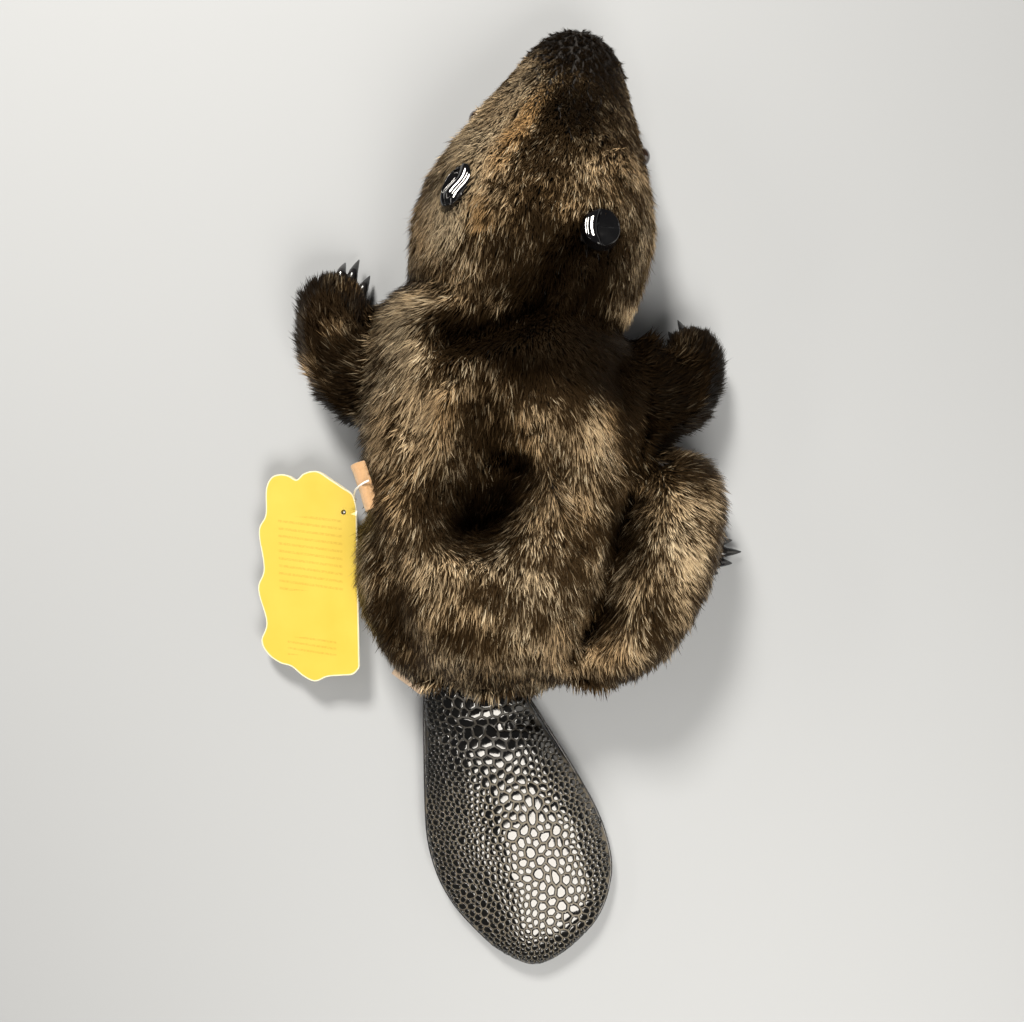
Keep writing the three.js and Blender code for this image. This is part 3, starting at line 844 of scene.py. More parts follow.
def patch_of(name, faces):
    """A copy of some faces of the skin, unwrapped on its own."""
    part = bmesh.new()
    part.from_mesh(skin.data)
    part.faces.ensure_lookup_table()
    bmesh.ops.delete(part, geom=[f for f, kept in zip(part.faces, faces) if not kept], context="FACES")
    mesh = mesh_of(part, name)
    made = link(name, mesh)
    bpy.context.view_layer.objects.active = made
    bpy.ops.object.select_all(action="DESELECT")
    made.select_set(True)
    mesh.uv_layers.new(name="root_place")
    bpy.ops.object.mode_set(mode="EDIT")
    bpy.ops.mesh.select_all(action="SELECT")
    bpy.ops.uv.smart_project(angle_limit=math.radians(66), island_margin=0.004)
    bpy.ops.object.mode_set(mode="OBJECT")
    return made


def set_inputs(modifier, **values):
    for item in modifier.node_group.interface.items_tree:
        if item.item_type == "SOCKET" and item.in_out == "INPUT" and item.name in values:
            modifier[item.identifier] = values[item.name]


def bake_map(mesh):
    """Lays each lock out as a small kite at its root's place on the skin's unwrap."""
    roots_at = read(mesh.attributes["root_place"].data, "vector", 2).reshape(-1, len(LOCK_POINTS), 2)
    kite = np.array([(0, -0.5), (-0.5, 0), (0.5, 0), (0, 0.5)]) * BAKE_PATCH
    spread = (roots_at[:, :1] + kite[None]).reshape(-1, 2)
    mesh.attributes.remove(mesh.attributes["root_place"])
    layer = mesh.uv_layers.new(name="OFBake")
    layer.uv.foreach_set("vector", spread[corners_of(mesh)].astype(np.float32).ravel())


# %% Comb each patch
coats = []
for seed, (name, faces) in enumerate(PATCHES.items()):
    patch = patch_of("patch_" + name, faces)
    modifier = patch.modifiers.new("comb", "NODES")
    modifier.node_group = comb
    set_inputs(modifier, Lock=lock, Seed=seed + 1, Material=hair_material, Width=LOCK_WIDTH,
               Density=UPPER_DENSITY)
    made = settled(patch)
    made.name = made.data.name = name
    bake_map(made.data)
    coats.append(made)
    placed(made, "fur")
    print(name, "triangles:", len(made.data.polygons))
bpy.data.objects.remove(lock)
print("coat triangles:", sum(len(c.data.polygons) for c in coats))

# %% [markdown]
# ## Surface effects shared by several finishes
#
# Pressed vinyl shows a fine leathery grain, and cloth shows its threads. Each effect is one node group with
# its own sizes, so the ears, claws and tail share a grain, and the lining and the ribbons share a weave.

# %% Vinyl grain group
grain_tree, given, out = group(
    "Vinyl grain", "ShaderNodeTree",
    [("Place", "NodeSocketVector", None), ("Grain size", "NodeSocketFloat", 0.7 * MM)],
    [("Height", "NodeSocketFloat"), ("Smudge", "NodeSocketFloat")])
per_metre = maths(grain_tree, "DIVIDE", 1.0, given["Grain size"])
cells = add(grain_tree, "ShaderNodeTexVoronoi", {"Vector": given["Place"], "Scale": per_metre},
            feature="SMOOTH_F1")
fine = add(grain_tree, "ShaderNodeTexNoise", {
    "Vector": given["Place"], "Scale": times(grain_tree, per_metre, 2.3), "Detail": 3.0})
smudge = add(grain_tree, "ShaderNodeTexNoise", {
    "Vector": given["Place"], "Scale": times(grain_tree, per_metre, 0.11), "Detail": 4.0})
grain_tree.links.new(maths(grain_tree, "ADD", cells.outputs["Distance"], times(
    grain_tree, fine.outputs["Fac"], 0.5)), out["Height"])
grain_tree.links.new(graded(grain_tree, smudge.outputs["Fac"], [(0.35, 0.0), (0.7, 1.0)]), out["Smudge"])

# %% Weave group
weave_tree, given, out = group(
    "Weave", "ShaderNodeTree",
    [("Place", "NodeSocketVector", None), ("Thread", "NodeSocketFloat", 0.4 * MM),
     ("Float", "NodeSocketFloat", 1.0)],
    [("Height", "NodeSocketFloat"), ("Slub", "NodeSocketFloat")])
turns = maths(weave_tree, "DIVIDE", math.pi, given["Thread"])
axes = add(weave_tree, "ShaderNodeSeparateXYZ", {0: vector_maths(
    weave_tree, "SCALE", given["Place"], scale=turns)})
warp = maths(weave_tree, "ABSOLUTE", maths(weave_tree, "SINE", axes.outputs[0]))
weft = maths(weave_tree, "ABSOLUTE", maths(weave_tree, "SINE", times(
    weave_tree, axes.outputs[1], given["Float"])))
over = times(weave_tree, maths(weave_tree, "SINE", axes.outputs[0]),
             maths(weave_tree, "SINE", axes.outputs[1]))
choice = graded(weave_tree, maths(weave_tree, "MULTIPLY_ADD", over, 0.5), [(0.2, 0.0), (0.3, 1.0)])
woven = add(weave_tree, "ShaderNodeMix", {"Factor": choice, 2: warp, 3: weft}, data_type="FLOAT")
weave_tree.links.new(woven.outputs[0], out["Height"])
slub = add(weave_tree, "ShaderNodeTexNoise", {"Vector": given["Place"], "Scale": 700.0, "Detail": 3.0})
weave_tree.links.new(slub.outputs["Fac"], out["Slub"])


# %% Vinyl finishes
def vinyl_material(name, dark, smudged, rough, grain_size, strength, distance):
    """Glossy vinyl: its colour and roughness vary with the smudges, and its grain is a fine bump."""
    made, tree, shader = new_material(name)
    grain = add(tree, "ShaderNodeGroup", {
        "Place": add(tree, "ShaderNodeTexCoord").outputs["Object"], "Grain size": grain_size},
        node_tree=grain_tree)
    painted(tree, shader, mix(tree, grain.outputs["Smudge"], dark, smudged),
            graded(tree, grain.outputs["Smudge"], [(0, rough[0]), (1, rough[1])]),
            (grain.outputs["Height"], strength, distance))
    return made


ear_vinyl = vinyl_material("ear_vinyl", (0.0015, 0.0015, 0.002), (0.004, 0.004, 0.0045), (0.07, 0.13),
                           0.9 * MM, 0.04, 0.00003)
claw_vinyl = vinyl_material("claw_vinyl", (0.005, 0.005, 0.006), (0.012, 0.011, 0.010), (0.16, 0.30),
                            0.6 * MM, 0.2, 0.00005)
scale_vinyl = vinyl_material("scale_vinyl", (0.0012, 0.0012, 0.0012), (0.003, 0.0027, 0.0022), (0.07, 0.14),
                             0.5 * MM, 0.15, 0.00003)
groove_vinyl = vinyl_material("groove_vinyl", (0.08, 0.068, 0.048), (0.135, 0.115, 0.084), (0.45, 0.65),
                              0.5 * MM, 0.5, 0.0001)

scale_vinyl.node_tree.nodes["Principled BSDF"].inputs["Specular IOR Level"].default_value = 0.8

# %% [markdown]
# ## The tail
#
# The paddle is one flat cushion of vinyl with pressed scales: glossy black on top, taupe in the grooves. The
# CAD form gives the shape, and a smoothed copy is the grooved ground. The scales are real raised cells. Their
# sizes follow a rule: round and large at the root, long in the middle, tiny towards the left edge. Points
# are thrown so that each keeps its own distance, joined as triangles, and the dual of that net is the cells.

# %% The tail's ground
TAIL_ROOT, TAIL_LEAN = (-18.6, -91.0), math.radians(-13.9)
TAIL_WAY = np.array((-math.sin(TAIL_LEAN), -math.cos(TAIL_LEAN)))
TAIL_SIDE = np.array((math.cos(TAIL_LEAN), -math.sin(TAIL_LEAN)))


def on_tail(plan_points):
    """Plan points as (how far along the tail, how far to its +X side), in mm."""
    offset = plan_points[:, :2] - np.array(TAIL_ROOT)
    return offset @ TAIL_WAY, offset @ TAIL_SIDE


TAIL_VOXEL, TAIL_ROUNDS = 1.2 * MM, 16
tail_body = melted("tail_body", [merged("tail")], TAIL_VOXEL, TAIL_ROUNDS)
tail_points = points_of(tail_body.data)
tail_along, tail_across = on_tail(plan_of(tail_points))
tail_up = normals_of(tail_body.data)[:, 2]
# the stuffing stops short of the root, so the vinyl creases there and dips
crease = -2.0 * np.exp(-((tail_along - 13 - 0.12 * tail_across) / 3.4) ** 2)
crease += 0.8 * np.exp(-((tail_along - 6 - 0.1 * tail_across) / 3.4) ** 2)
crease += -0.7 * np.exp(-((tail_along - 25 + 0.3 * tail_across) / 3.0) ** 2 - ((tail_across - 12) / 9) ** 2)
crease += 0.5 * rumple(plan_of(tail_points), 17, 9.3)
tail_points[:, 2] += MM * crease * ramp(tail_up, 0.2, 0.8)
GROOVE = 0.45 * MM
set_points(tail_body.data, tail_points - normals_of(tail_body.data) * GROOVE)
flank = 1 - ramp(np.abs(tail_up), 0.25, 0.6)
# Near-black on the bare steep sides, the vinyl's own colour, and near-black towards the root as painted shade,
# where the tail lies under the rump's fur.
write_attribute(tail_body.data, "flank", np.maximum(flank, 0.8 * ramp(tail_along, 50, 24)))
tree = groove_vinyl.node_tree
taupe = tree.nodes["Principled BSDF"].inputs["Base Color"]
tree.links.new(mix(tree, reading(tree, "flank"), taupe.links[0].from_socket, (0.006, 0.0055, 0.005)), taupe)
covered(tail_body, groove_vinyl)
print("tail ground faces:", len(tail_body.data.polygons))


# %% Scale sizes and places
def scale_sizes(along, across):
    """The width of a scale in mm, and how many times longer than wide it is."""
    middle_share = np.exp(-((across - 6 - 0.1 * along) / 17) ** 2)
    width = 2.1 + 1.3 * middle_share * ramp(along, 132, 108)
    width += 1.6 * (1 - ramp(along, 22, 44)) * np.exp(-((across - 1) / 15) ** 2)
    width += 0.8 * np.exp(-((across + 22) / 10) ** 2 - ((along - 98) / 18) ** 2)
    long = 1 + 0.55 * middle_share * ramp(along, 34, 52) * ramp(along, 134, 112)
    return width, long


TAIL_TREE = BVHTree.FromPolygons([Vector(p) for p in points_of(tail_body.data)],
                                 [tuple(f.vertices) for f in tail_body.data.polygons])


# Two scales stand no closer than this share of their summed widths, and a side of the net is no longer than
# so many scales.
CLOSEST, LONGEST_SIDE = 0.47, 3.2
# Rays are cast from this height in metres, and kept where the surface is no steeper than this.
CAST_FROM, STEEPEST = 0.2, 0.2


def thrown_net(name, downward, tries, seed):
    """A net of triangles over one side of the tail, its points apart by their own scale's size."""
    dice = np.random.default_rng(seed)
    low, high = points_of(tail_body.data).min(0), points_of(tail_body.data).max(0)
    spots = dice.uniform(low[:2] - MM, high[:2] + MM, (tries, 2))
    height, sense = (CAST_FROM, -1) if downward else (-CAST_FROM, 1)
    found = []
    for x, y in spots:
        place, normal, _, _ = TAIL_TREE.ray_cast(Vector((x, y, height)), Vector((0, 0, sense)))
        if place is not None and abs(normal.z) > STEEPEST:
            found.append(place)
    found = np.array(found)
    along, across = on_tail(plan_of(found))
    width, long = scale_sizes(along, across)
    where = np.stack([along, across, plan_of(found)[:, 2]], 1)
    kept, chosen = [], np.empty((0, 3))
    for i, spot in enumerate(where):
        apart = chosen - spot
        apart[:, 0] /= (long[kept] + long[i]) / 2
        if not (np.linalg.norm(apart, axis=1) < CLOSEST * (width[kept] + width[i])).any():
            kept.append(i)
            chosen = where[kept]
    picked = found[kept]
    corners, _, triangles, *_ = delaunay_2d_cdt([Vector(p[:2]) for p in picked], [], [], 0, 1e-7)
    limit = LONGEST_SIDE * width[kept] * long[kept] * MM

    def too_long(a, b):
        return np.linalg.norm(picked[a] - picked[b]) >= min(limit[a], limit[b])

    triangles = [t for t in triangles if not any(too_long(t[i], t[i - 1]) for i in range(3))]
    mesh = bpy.data.meshes.new(name)
    mesh.from_pydata([tuple(p) for p in picked], [], [t if downward else t[::-1] for t in triangles])
    mesh.update()
    print(name, "scales:", len(picked))
    return link(name, mesh)


# %% The tree that raises scales
emboss, given, out = group("Raise scales", "GeometryNodeTree", [
    ("Net", "NodeSocketGeometry", None),
    ("Ground", "NodeSocketObject", None),
    ("Gap", "NodeSocketFloat", 0.87),
    ("Rise", "NodeSocketFloat", 0.58 * MM),
    ("Sunk", "NodeSocketFloat", 0.10 * MM),
    ("Material", "NodeSocketMaterial", None),
], [("Scales", "NodeSocketGeometry")])
dual = add(emboss, "GeometryNodeDualMesh", {0: given["Net"]})
apart = add(emboss, "GeometryNodeSplitEdges", {0: dual.outputs[0]})
drawn = add(emboss, "GeometryNodeScaleElements", {"Geometry": apart.outputs[0], "Scale": given["Gap"]})
ground = add(emboss, "GeometryNodeProximity", {0: add(
    emboss, "GeometryNodeObjectInfo", {"Object": given["Ground"]}).outputs["Geometry"]})
laid = add(emboss, "GeometryNodeSetPosition", {0: drawn.outputs[0], "Position": ground.outputs["Position"]})
downward_step = scaled(emboss, add(emboss, "GeometryNodeInputNormal").outputs[0],
                       times(emboss, given["Sunk"], -1.0))
sunk = add(emboss, "GeometryNodeSetPosition", {0: laid.outputs[0], "Offset": downward_step})
top, chosen_faces = sunk.outputs[0], None
for share, shrink in ((0.62, 0.95), (0.28, 0.90), (0.10, 0.80)):
    raised = add(emboss, "GeometryNodeExtrudeMesh", {"Mesh": top, "Offset Scale": times(
        emboss, given["Rise"], share)})
    if chosen_faces is not None:
        emboss.links.new(chosen_faces, raised.inputs["Selection"])
    raised.inputs["Individual"].default_value = True
    drawn_in = add(emboss, "GeometryNodeScaleElements", {
        "Geometry": raised.outputs["Mesh"], "Selection": raised.outputs["Top"], "Scale": shrink})
    top, chosen_faces = drawn_in.outputs[0], raised.outputs["Top"]
under = add(emboss, "GeometryNodeFlipFaces", {0: sunk.outputs[0]})
both = add(emboss, "GeometryNodeJoinGeometry")
emboss.links.new(top, both.inputs[0])
emboss.links.new(under.outputs[0], both.inputs[0])
closed = add(emboss, "GeometryNodeMergeByDistance", {"Geometry": both.outputs[0], "Distance": 0.004 * MM})
whole = add(emboss, "GeometryNodeRealizeInstances", {"Geometry": closed.outputs[0]})
end_tree(emboss, whole.outputs[0], given, out["Scales"])


# %% Raise the scales on both sides
def grown(made, tree, **values):
    """Runs a Geometry Nodes tree on an object and keeps what it makes as a plain mesh."""
    modifier = made.modifiers.new("grow", "NODES")
    modifier.node_group = tree
    set_inputs(modifier, **values)
    return settled(made)


scales = []
for name, *throw in (("tail_scales_top", True, 52000, 4), ("tail_scales_under", False, 30000, 5)):
    scales.append(grown(thrown_net(name, *throw), emboss, Ground=tail_body, Material=scale_vinyl))
    print(name, "triangles:", sum(len(f.vertices) - 2 for f in scales[-1].data.polygons))
placed(tail_body, "tail_vinyl", "tail")
for piece in scales:
    placed(piece, "tail_vinyl")

# %% The seam lip round the tail
# Two sheets of vinyl are sewn face to face, so a thin lip runs round the paddle where they meet.
piping, given, out = group("Run a lip", "GeometryNodeTree", [
    ("Path", "NodeSocketGeometry", None),
    ("Radius", "NodeSocketFloat", 0.8 * MM),
    ("Material", "NodeSocketMaterial", None),
], [("Lip", "NodeSocketGeometry")])
line = add(piping, "GeometryNodeMeshToCurve", {0: given["Path"]})
section = add(piping, "GeometryNodeCurvePrimitiveCircle", {"Resolution": 10, "Radius": given["Radius"]})
swept = add(piping, "GeometryNodeCurveToMesh", {0: line.outputs[0], 1: section.outputs[0], "Fill Caps": True})
whole = add(piping, "GeometryNodeRealizeInstances", {"Geometry": swept.outputs[0]})
end_tree(piping, whole.outputs[0], given, out["Lip"])


def path_object(name, places):
    mesh = bpy.data.meshes.new(name)
    mesh.from_pydata([tuple(p) for p in places], [(i, i + 1) for i in range(len(places) - 1)], [])
    return link(name, mesh)


LIP_RADIUS, LIP_LOOKS, LIP_REACH, PADDLE_MIDDLE, STRETCH = 0.75 * MM, 150, math.radians(158), 70, 1.6
tail_points = points_of(tail_body.data)
tail_along, tail_across = on_tail(plan_of(tail_points))
rim = []
for turn in np.linspace(-LIP_REACH, LIP_REACH, LIP_LOOKS):
    look = math.cos(turn) * (tail_along - PADDLE_MIDDLE) + math.sin(turn) * tail_across * STRETCH
    rim.append(int(np.argmax(look)))
rim = [v for v, before in zip(rim, [None] + rim[:-1]) if v != before]
lip_places = tail_points[rim]
for _ in range(3):
    lip_places[1:-1] = (lip_places[:-2] + 2 * lip_places[1:-1] + lip_places[2:]) / 4
tail_lip = grown(path_object("tail_lip", lip_places), piping, Radius=LIP_RADIUS, Material=claw_vinyl)
placed(tail_lip, "tail_vinyl")
print("lip faces:", len(tail_lip.data.polygons))

# %% [markdown]
# ## Ears
#
# Each ear is glossy moulded vinyl: a rounded outline with level crests that carry long streaks of light, and
# a dark dip beside them. The left ear is folded to a narrow leaf. The right one is a round cup with a heavy
# lip.

# %% A swept, tapering form
def flowing(stations, t):
    """A smooth run through stations (Catmull-Rom), read at shares t of its length."""
    stations = np.asarray(stations, float)
    padded = np.concatenate([2 * stations[:1] - stations[1:2], stations, 2 * stations[-1:] - stations[-2:-1]])
    place = np.clip(np.asarray(t) * (len(stations) - 1), 0, len(stations) - 1 - 1e-9)
    i = place.astype(int)
    u = (place - i).reshape(-1, *[1] * (stations.ndim - 1))
    a, b, c, d = padded[i], padded[i + 1], padded[i + 2], padded[i + 3]
    return 0.5 * (2 * b + (c - a) * u + (2 * a - 5 * b + 4 * c - d) * u ** 2
                  + (3 * b - a - 3 * c + d) * u ** 3)


BLUNT_ENDS, AROUND, RINGS = (0.15, 0.4), 18, 22


def swept_form(spine, wide, high):
    """A closed bmesh form swept along a spine, in mm of its own plan, rounded at both ends."""
    t = (1 - np.cos(np.linspace(0, math.pi, RINGS))) / 2
    centre = flowing(spine, t)
    along = unit(np.gradient(centre, axis=0))
    side = unit(np.cross(along, (0, 0, 1)))
    up = np.cross(side, along)
    opened = np.sqrt(np.clip(1 - (1 - np.minimum(t / BLUNT_ENDS[0], 1)) ** 2, 0, 1)
                     * np.clip(1 - (1 - np.minimum((1 - t) / BLUNT_ENDS[1], 1)) ** 2, 0, 1))
    turns = np.arange(AROUND) * 2 * math.pi / AROUND
    form = bmesh.new()
    loops = []
    for c, s, u, w, h in zip(centre, side, up, flowing(wide, t) * opened, flowing(high, t) * opened):
        loops.append([form.verts.new(c + s * w * math.cos(a) + u * h * math.sin(a)) for a in turns])
    for before, after in zip(loops, loops[1:]):
        for k in range(AROUND):
            form.faces.new((before[k], before[(k + 1) % AROUND], after[(k + 1) % AROUND], after[k]))
    for end in (loops[0], loops[-1]):
        form.faces.new(end)
    bmesh.ops.remove_doubles(form, verts=form.verts, dist=1e-4)
    bmesh.ops.recalc_face_normals(form, faces=form.faces)
    return form


# %% Two moulded ears
# Points round an ear and out to its edge, its bulge, the share of the way where its rim starts, its fall in mm.
EAR_AROUND, EAR_ROWS, EAR_BULGE, RIM_FROM, RIM_FALL = 120, 52, 0.9, 0.88, 6


def ear_form(name, node, place, turn, half, tilt, surface):
    """A closed ear with a rounded outline; surface gives its height over its tilted plane."""
    around, rows = EAR_AROUND, EAR_ROWS
    azimuth = np.arange(around) * 2 * math.pi / around
    reach = np.sin(np.linspace(0, math.pi / 2, rows)) ** EAR_BULGE
    u = half[0] * reach[None] * np.cos(azimuth)[:, None]
    v = half[1] * reach[None] * np.sin(azimuth)[:, None]
    whole_reach = np.broadcast_to(reach[None], u.shape)
    z = surface(u, v, whole_reach) - RIM_FALL * ramp(whole_reach, RIM_FROM, 1.0) ** 2
    under = [(0.9, -7.5), (0.5, -9)]
    u = np.concatenate([u] + [u[:, -1:] * r for r, _ in under], 1)
    v = np.concatenate([v] + [v[:, -1:] * r for r, _ in under], 1)
    z = np.concatenate([z] + [np.full((around, 1), h) for _, h in under], 1)
    z[:, 0] = z[:, 0].mean()
    z = z + u * tilt[0] + v * tilt[1]
    c, s = math.cos(math.radians(turn)), math.sin(math.radians(turn))
    places = np.stack([place[0] + u * c + v * s, place[1] + v * c - u * s, place[2] + z], 2).reshape(-1, 3)
    rows += len(under)
    faces = [(a * rows + r, a * rows + r + 1, (a + 1) % around * rows + r + 1, (a + 1) % around * rows + r)
             for a in range(around) for r in range(rows - 1)]
    solid = bmesh.new()
    corners = [solid.verts.new(at(*p)) for p in places]
    for face in faces + [tuple(a * rows + rows - 1 for a in range(around))]:
        solid.faces.new([corners[i] for i in face])
    bmesh.ops.remove_doubles(solid, verts=solid.verts, dist=0.01 * MM)
    bmesh.ops.recalc_face_normals(solid, faces=solid.faces)
    mesh = mesh_of(solid, name)
    mesh.materials.append(ear_vinyl)
    placed(link(name, mesh), "vinyl", node)
    print(name, "faces:", len(mesh.polygons))


END_FALL, FILLET = 0.12, 9


def crest(aside, v, high, radius, first, last):
    """A long, level crest: a slow curve across it, and a fall past both its ends."""
    past = np.maximum(first - v, 0) + np.maximum(v - last, 0)
    return high - aside ** 2 / (2 * radius) - END_FALL * past ** 2


def highest(*heights):
    """The highest of several surfaces, with a small fillet where they cross."""
    return np.log(sum(np.exp(FILLET * h) for h in heights)) / FILLET


def dimple(u, v, at_u, at_v, wide, long, rise):
    return rise * np.exp(-((u - at_u) / wide) ** 2 - ((v - at_v) / long) ** 2)


def left_ear(u, v, reach):
    """A leaf folded along two S-shaped crests, open to a hollow on its lower left."""
    sway = 0.8 * np.sin(v * math.pi / 9)
    one, two = u - 0.5 - sway, u - 2.9 - sway
    folds = highest(crest(one, v, 1.6, 3.6, -4.0, 7.5) - 0.4 * np.maximum(-one - 0.9, 0) ** 2,
                    crest(two, v, 1.6, 3.2, -5.5, 6.0) - 0.4 * np.maximum(two - 0.9, 0) ** 2)
    floor_height = -2.4 + 0.35 * v / 5 - 0.3 * u + dimple(u, v, -2.6, 6, 1.2, 1.5, -1.6)
    lip = -1.0 - 0.28 * v / 2 - (reach - 0.84) ** 2 * 160 + 0.3 * u
    return highest(folds, floor_height, lip)


def right_ear(u, v, reach):
    """A round cup with a heavy lip on its left, and one pleat across its floor."""
    bow = 0.035 * v ** 2
    one, two = u + 4.6 - bow, u + 7.0 - bow
    lips = highest(crest(one, v, 1.6, 5.0, -4.2, 3.8) - 0.6 * np.maximum(one - 1.0, 0) ** 2,
                   crest(two, v, 1.55, 1.6, -3.0, 3.0))
    floor_height = -2.2 - 0.32 * u + dimple(u, v, 2, -3.2, 3.4, 2.6, 0.6) + 0.7 * ramp(reach, 0.55, 0.95)
    floor_height -= 0.65 * np.exp(-((v - 1.0) / 1.0) ** 2) * ramp(u, -3, 0) + 0.05 * np.maximum(u - 2, 0) ** 2
    return highest(lips, floor_height)


ear_form("folded_ear_left", "ear_left", (-23.7, 136.2, 73.4), 27, (5.4, 11.2), (0.172, -0.112), left_ear)
ear_form("cupped_ear_right", "ear_right", (37.2, 117.2, 79.8), 0, (8.4, 8.8), (0.229, -0.20), right_ear)

# %% [markdown]
# ## Soles and claws
#
# Each paw ends in a sole pad of black vinyl with five moulded claws. Every claw is swept along its own bent
# line over the pad, and the set is melted into one piece and smoothed.

# %% The four sets of claws
CLAW_VOXEL, CLAW_ROUNDS, CLAWS, SHORTER_ASIDE = 0.4 * MM, 5, 5, 0.42
CLAW_WIDE, CLAW_HIGH = (2.6, 2.7, 2.5, 1.2), (2.4, 2.4, 2.2, 1.0)


def claw_set(name, node, place, heading, radii, reach, fan, lift, longest=0.0):
    """A sole pad with five claws; heading is the toes' way, in degrees from +Y towards +X.

    reach is the longest claw's length in mm, and longest is where it stands, from -1 to 1 across the paw.
    """
    pad = bmesh.new()
    bmesh.ops.create_icosphere(pad, subdivisions=4, radius=1.0)
    for vertex in pad.verts:
        x, y, z = vertex.co
        vertex.co = (radii[0] * x, radii[1] * y, 2.7 * max(z, 0) ** 0.5 + 0.02 * z)
    forms = [pad]
    for i in range(CLAWS):
        share = i / 2 - 1
        turn = math.radians(share * fan)
        length = reach * (1 - SHORTER_ASIDE * abs(share - longest))
        rise = lift * (1 - 0.5 * share * share)
        start = np.array((share * radii[0] * 0.7, radii[1] * (0.7 - 0.3 * share * share)))
        way = np.array((math.sin(turn), math.cos(turn)))
        spine = [(*(start + way * length * far), high) for far, high in (
            (-0.5, 1.0), (-0.1, 2 + 0.7 * rise), (0.4, 3 + rise), (1, 1.6 + 0.45 * rise))]
        forms.append(swept_form(spine, CLAW_WIDE, CLAW_HIGH))
    frame_turn = Matrix.LocRotScale(at(*place), Euler((0, 0, -math.radians(heading))), Vector((MM, MM, MM)))
    for form in forms:
        bmesh.ops.transform(form, matrix=frame_turn, verts=form.verts)
    made = melted(name, forms, CLAW_VOXEL, CLAW_ROUNDS)
    covered(made, claw_vinyl)
    placed(made, "vinyl", node)
    return made


CLAW_SETS = {
    "foreclaws_left": ((-83, 98), 5, (12.5, 14), 17, 14, 13, 0.5),
    "foreclaws_right": ((86.5, 70), -14, (12.5, 13), 15, 14, 11),
    "hindclaws_left": ((-70, -33), -98, (11.5, 11), 10, 14, 2),
    "hindclaws_right": ((87, -20), 90, (12.5, 15), 15.5, 13, 4),
}
for node, sizes in CLAW_SETS.items():
    made = claw_set("vinyl_" + node, node, *sizes)
    print(made.name, "faces:", len(made.data.polygons))

# %% [markdown]
# ## Face: bead eyes, nose pad and incisors
#
# The eyes are polished domes on a flat rim, turned on a lathe, so their profile is spun. The nose is a
# pebbled pad with two nostril dents. The incisors are two flat tabs of cream felt with a cut between them.

# %% Bead eyes
bead, tree, shader = new_material("polished_bead")
fleck = fine_noise(tree, 900.0, 2.0)
painted(tree, shader, mix(tree, fleck, (0.008, 0.004, 0.002), (0.022, 0.010, 0.005)),
        graded(tree, fleck, [(0.3, 0.04), (0.8, 0.09)]))
shader.inputs["Coat Weight"].default_value = 1.0

EYE_PROFILE = [(0, 4.6), (1.6, 4.32), (3.0, 3.5), (4.0, 2.3), (4.45, 0.9), (4.6, 0.1), (4.6, -0.5),
               (3.9, -0.9), (1.4, -1.0), (1.3, -3.6), (0, -3.8)]
for side, name in ((-1, "eye_left"), (1, "eye_right")):
    lathe = bmesh.new()
    line = [lathe.verts.new((r, 0, h)) for r, h in EYE_PROFILE]
    edges = [lathe.edges.new(pair) for pair in zip(line, line[1:])]
    bmesh.ops.spin(lathe, geom=line + edges, axis=(0, 0, 1), cent=(0, 0, 0), angle=2 * math.pi, steps=40)
    bmesh.ops.remove_doubles(lathe, verts=lathe.verts, dist=1e-3)
    bmesh.ops.recalc_face_normals(lathe, faces=lathe.faces)
    outward = Vector((side * math.cos(HEAD_LEAN), -side * math.sin(HEAD_LEAN), 0.25)).to_track_quat("Z", "Y")
    bmesh.ops.transform(lathe, verts=lathe.verts, matrix=Matrix.LocRotScale(
        middle(name), outward, Vector((MM, MM, MM))))
    mesh = mesh_of(lathe, "bead_" + name)
    mesh.materials.append(bead)
    placed(link("bead_" + name, mesh), "eye", name)

# %% Nose pad
nose_vinyl = vinyl_material("nose_vinyl", (0.009, 0.007, 0.007), (0.020, 0.016, 0.015), (0.32, 0.5),
                            0.8 * MM, 0.8, 0.0002)
NOSTRIL_OUT = 3.6
pad = bmesh.new()
bmesh.ops.create_icosphere(pad, subdivisions=5, radius=1.0)
for vertex in pad.verts:
    x, y, z = vertex.co
    shaped_to = Vector((9.5 * x * (1 - 0.22 * (1 - z) / 2), 5 * y, 6.5 * z))
    dents = sum(math.exp(-((shaped_to.x - dx) / 1.7) ** 2 - ((shaped_to.z + 0.6) / 1.3) ** 2)
                for dx in (-NOSTRIL_OUT, NOSTRIL_OUT))
    cleft = math.exp(-(shaped_to.x / 0.8) ** 2) * (z < 0.2)
    if y > 0:
        shaped_to.y -= 1.7 * dents + 0.8 * cleft
    vertex.co = shaped_to
bmesh.ops.transform(pad, verts=pad.verts, matrix=Matrix.LocRotScale(
    middle("nose"), Euler((0, 0, -HEAD_LEAN)), Vector((MM, MM, MM))))
mesh = mesh_of(pad, "nose_pad")
mesh.materials.append(nose_vinyl)
placed(link("nose_pad", mesh), "nose", "nose")

# %% Felt incisors
felt, tree, shader = new_material("cream_felt")
fibres = fine_noise(tree, 2600.0, 4.0, Distortion=1.5)
stain = fine_noise(tree, 260.0, 2.0)
painted(tree, shader, mix(tree, stain, (0.80, 0.62, 0.36), (0.62, 0.42, 0.19)), 0.95, (fibres, 0.6, 0.0002))
shader.inputs["Sheen Weight"].default_value = 0.3
TOOTH_VOXEL, TOOTH_ROUNDS = 0.4 * MM, 4
teeth = melted("felt_incisors", [merged("incisors")], TOOTH_VOXEL, TOOTH_ROUNDS)
teeth_points = points_of(teeth.data)
across = (plan_of(teeth_points)[:, :2] - on_head(HEAD_LENGTH - 11, 0)[:2]) @ (
    math.cos(HEAD_LEAN), -math.sin(HEAD_LEAN))
CUT_HALF, CUT_BELOW = 0.5, 0.0155
slot_in = np.exp(-(across / CUT_HALF) ** 2) * 0.5 * MM * (teeth_points[:, 2] < CUT_BELOW)
set_points(teeth.data, teeth_points - normals_of(teeth.data) * slot_in[:, None])
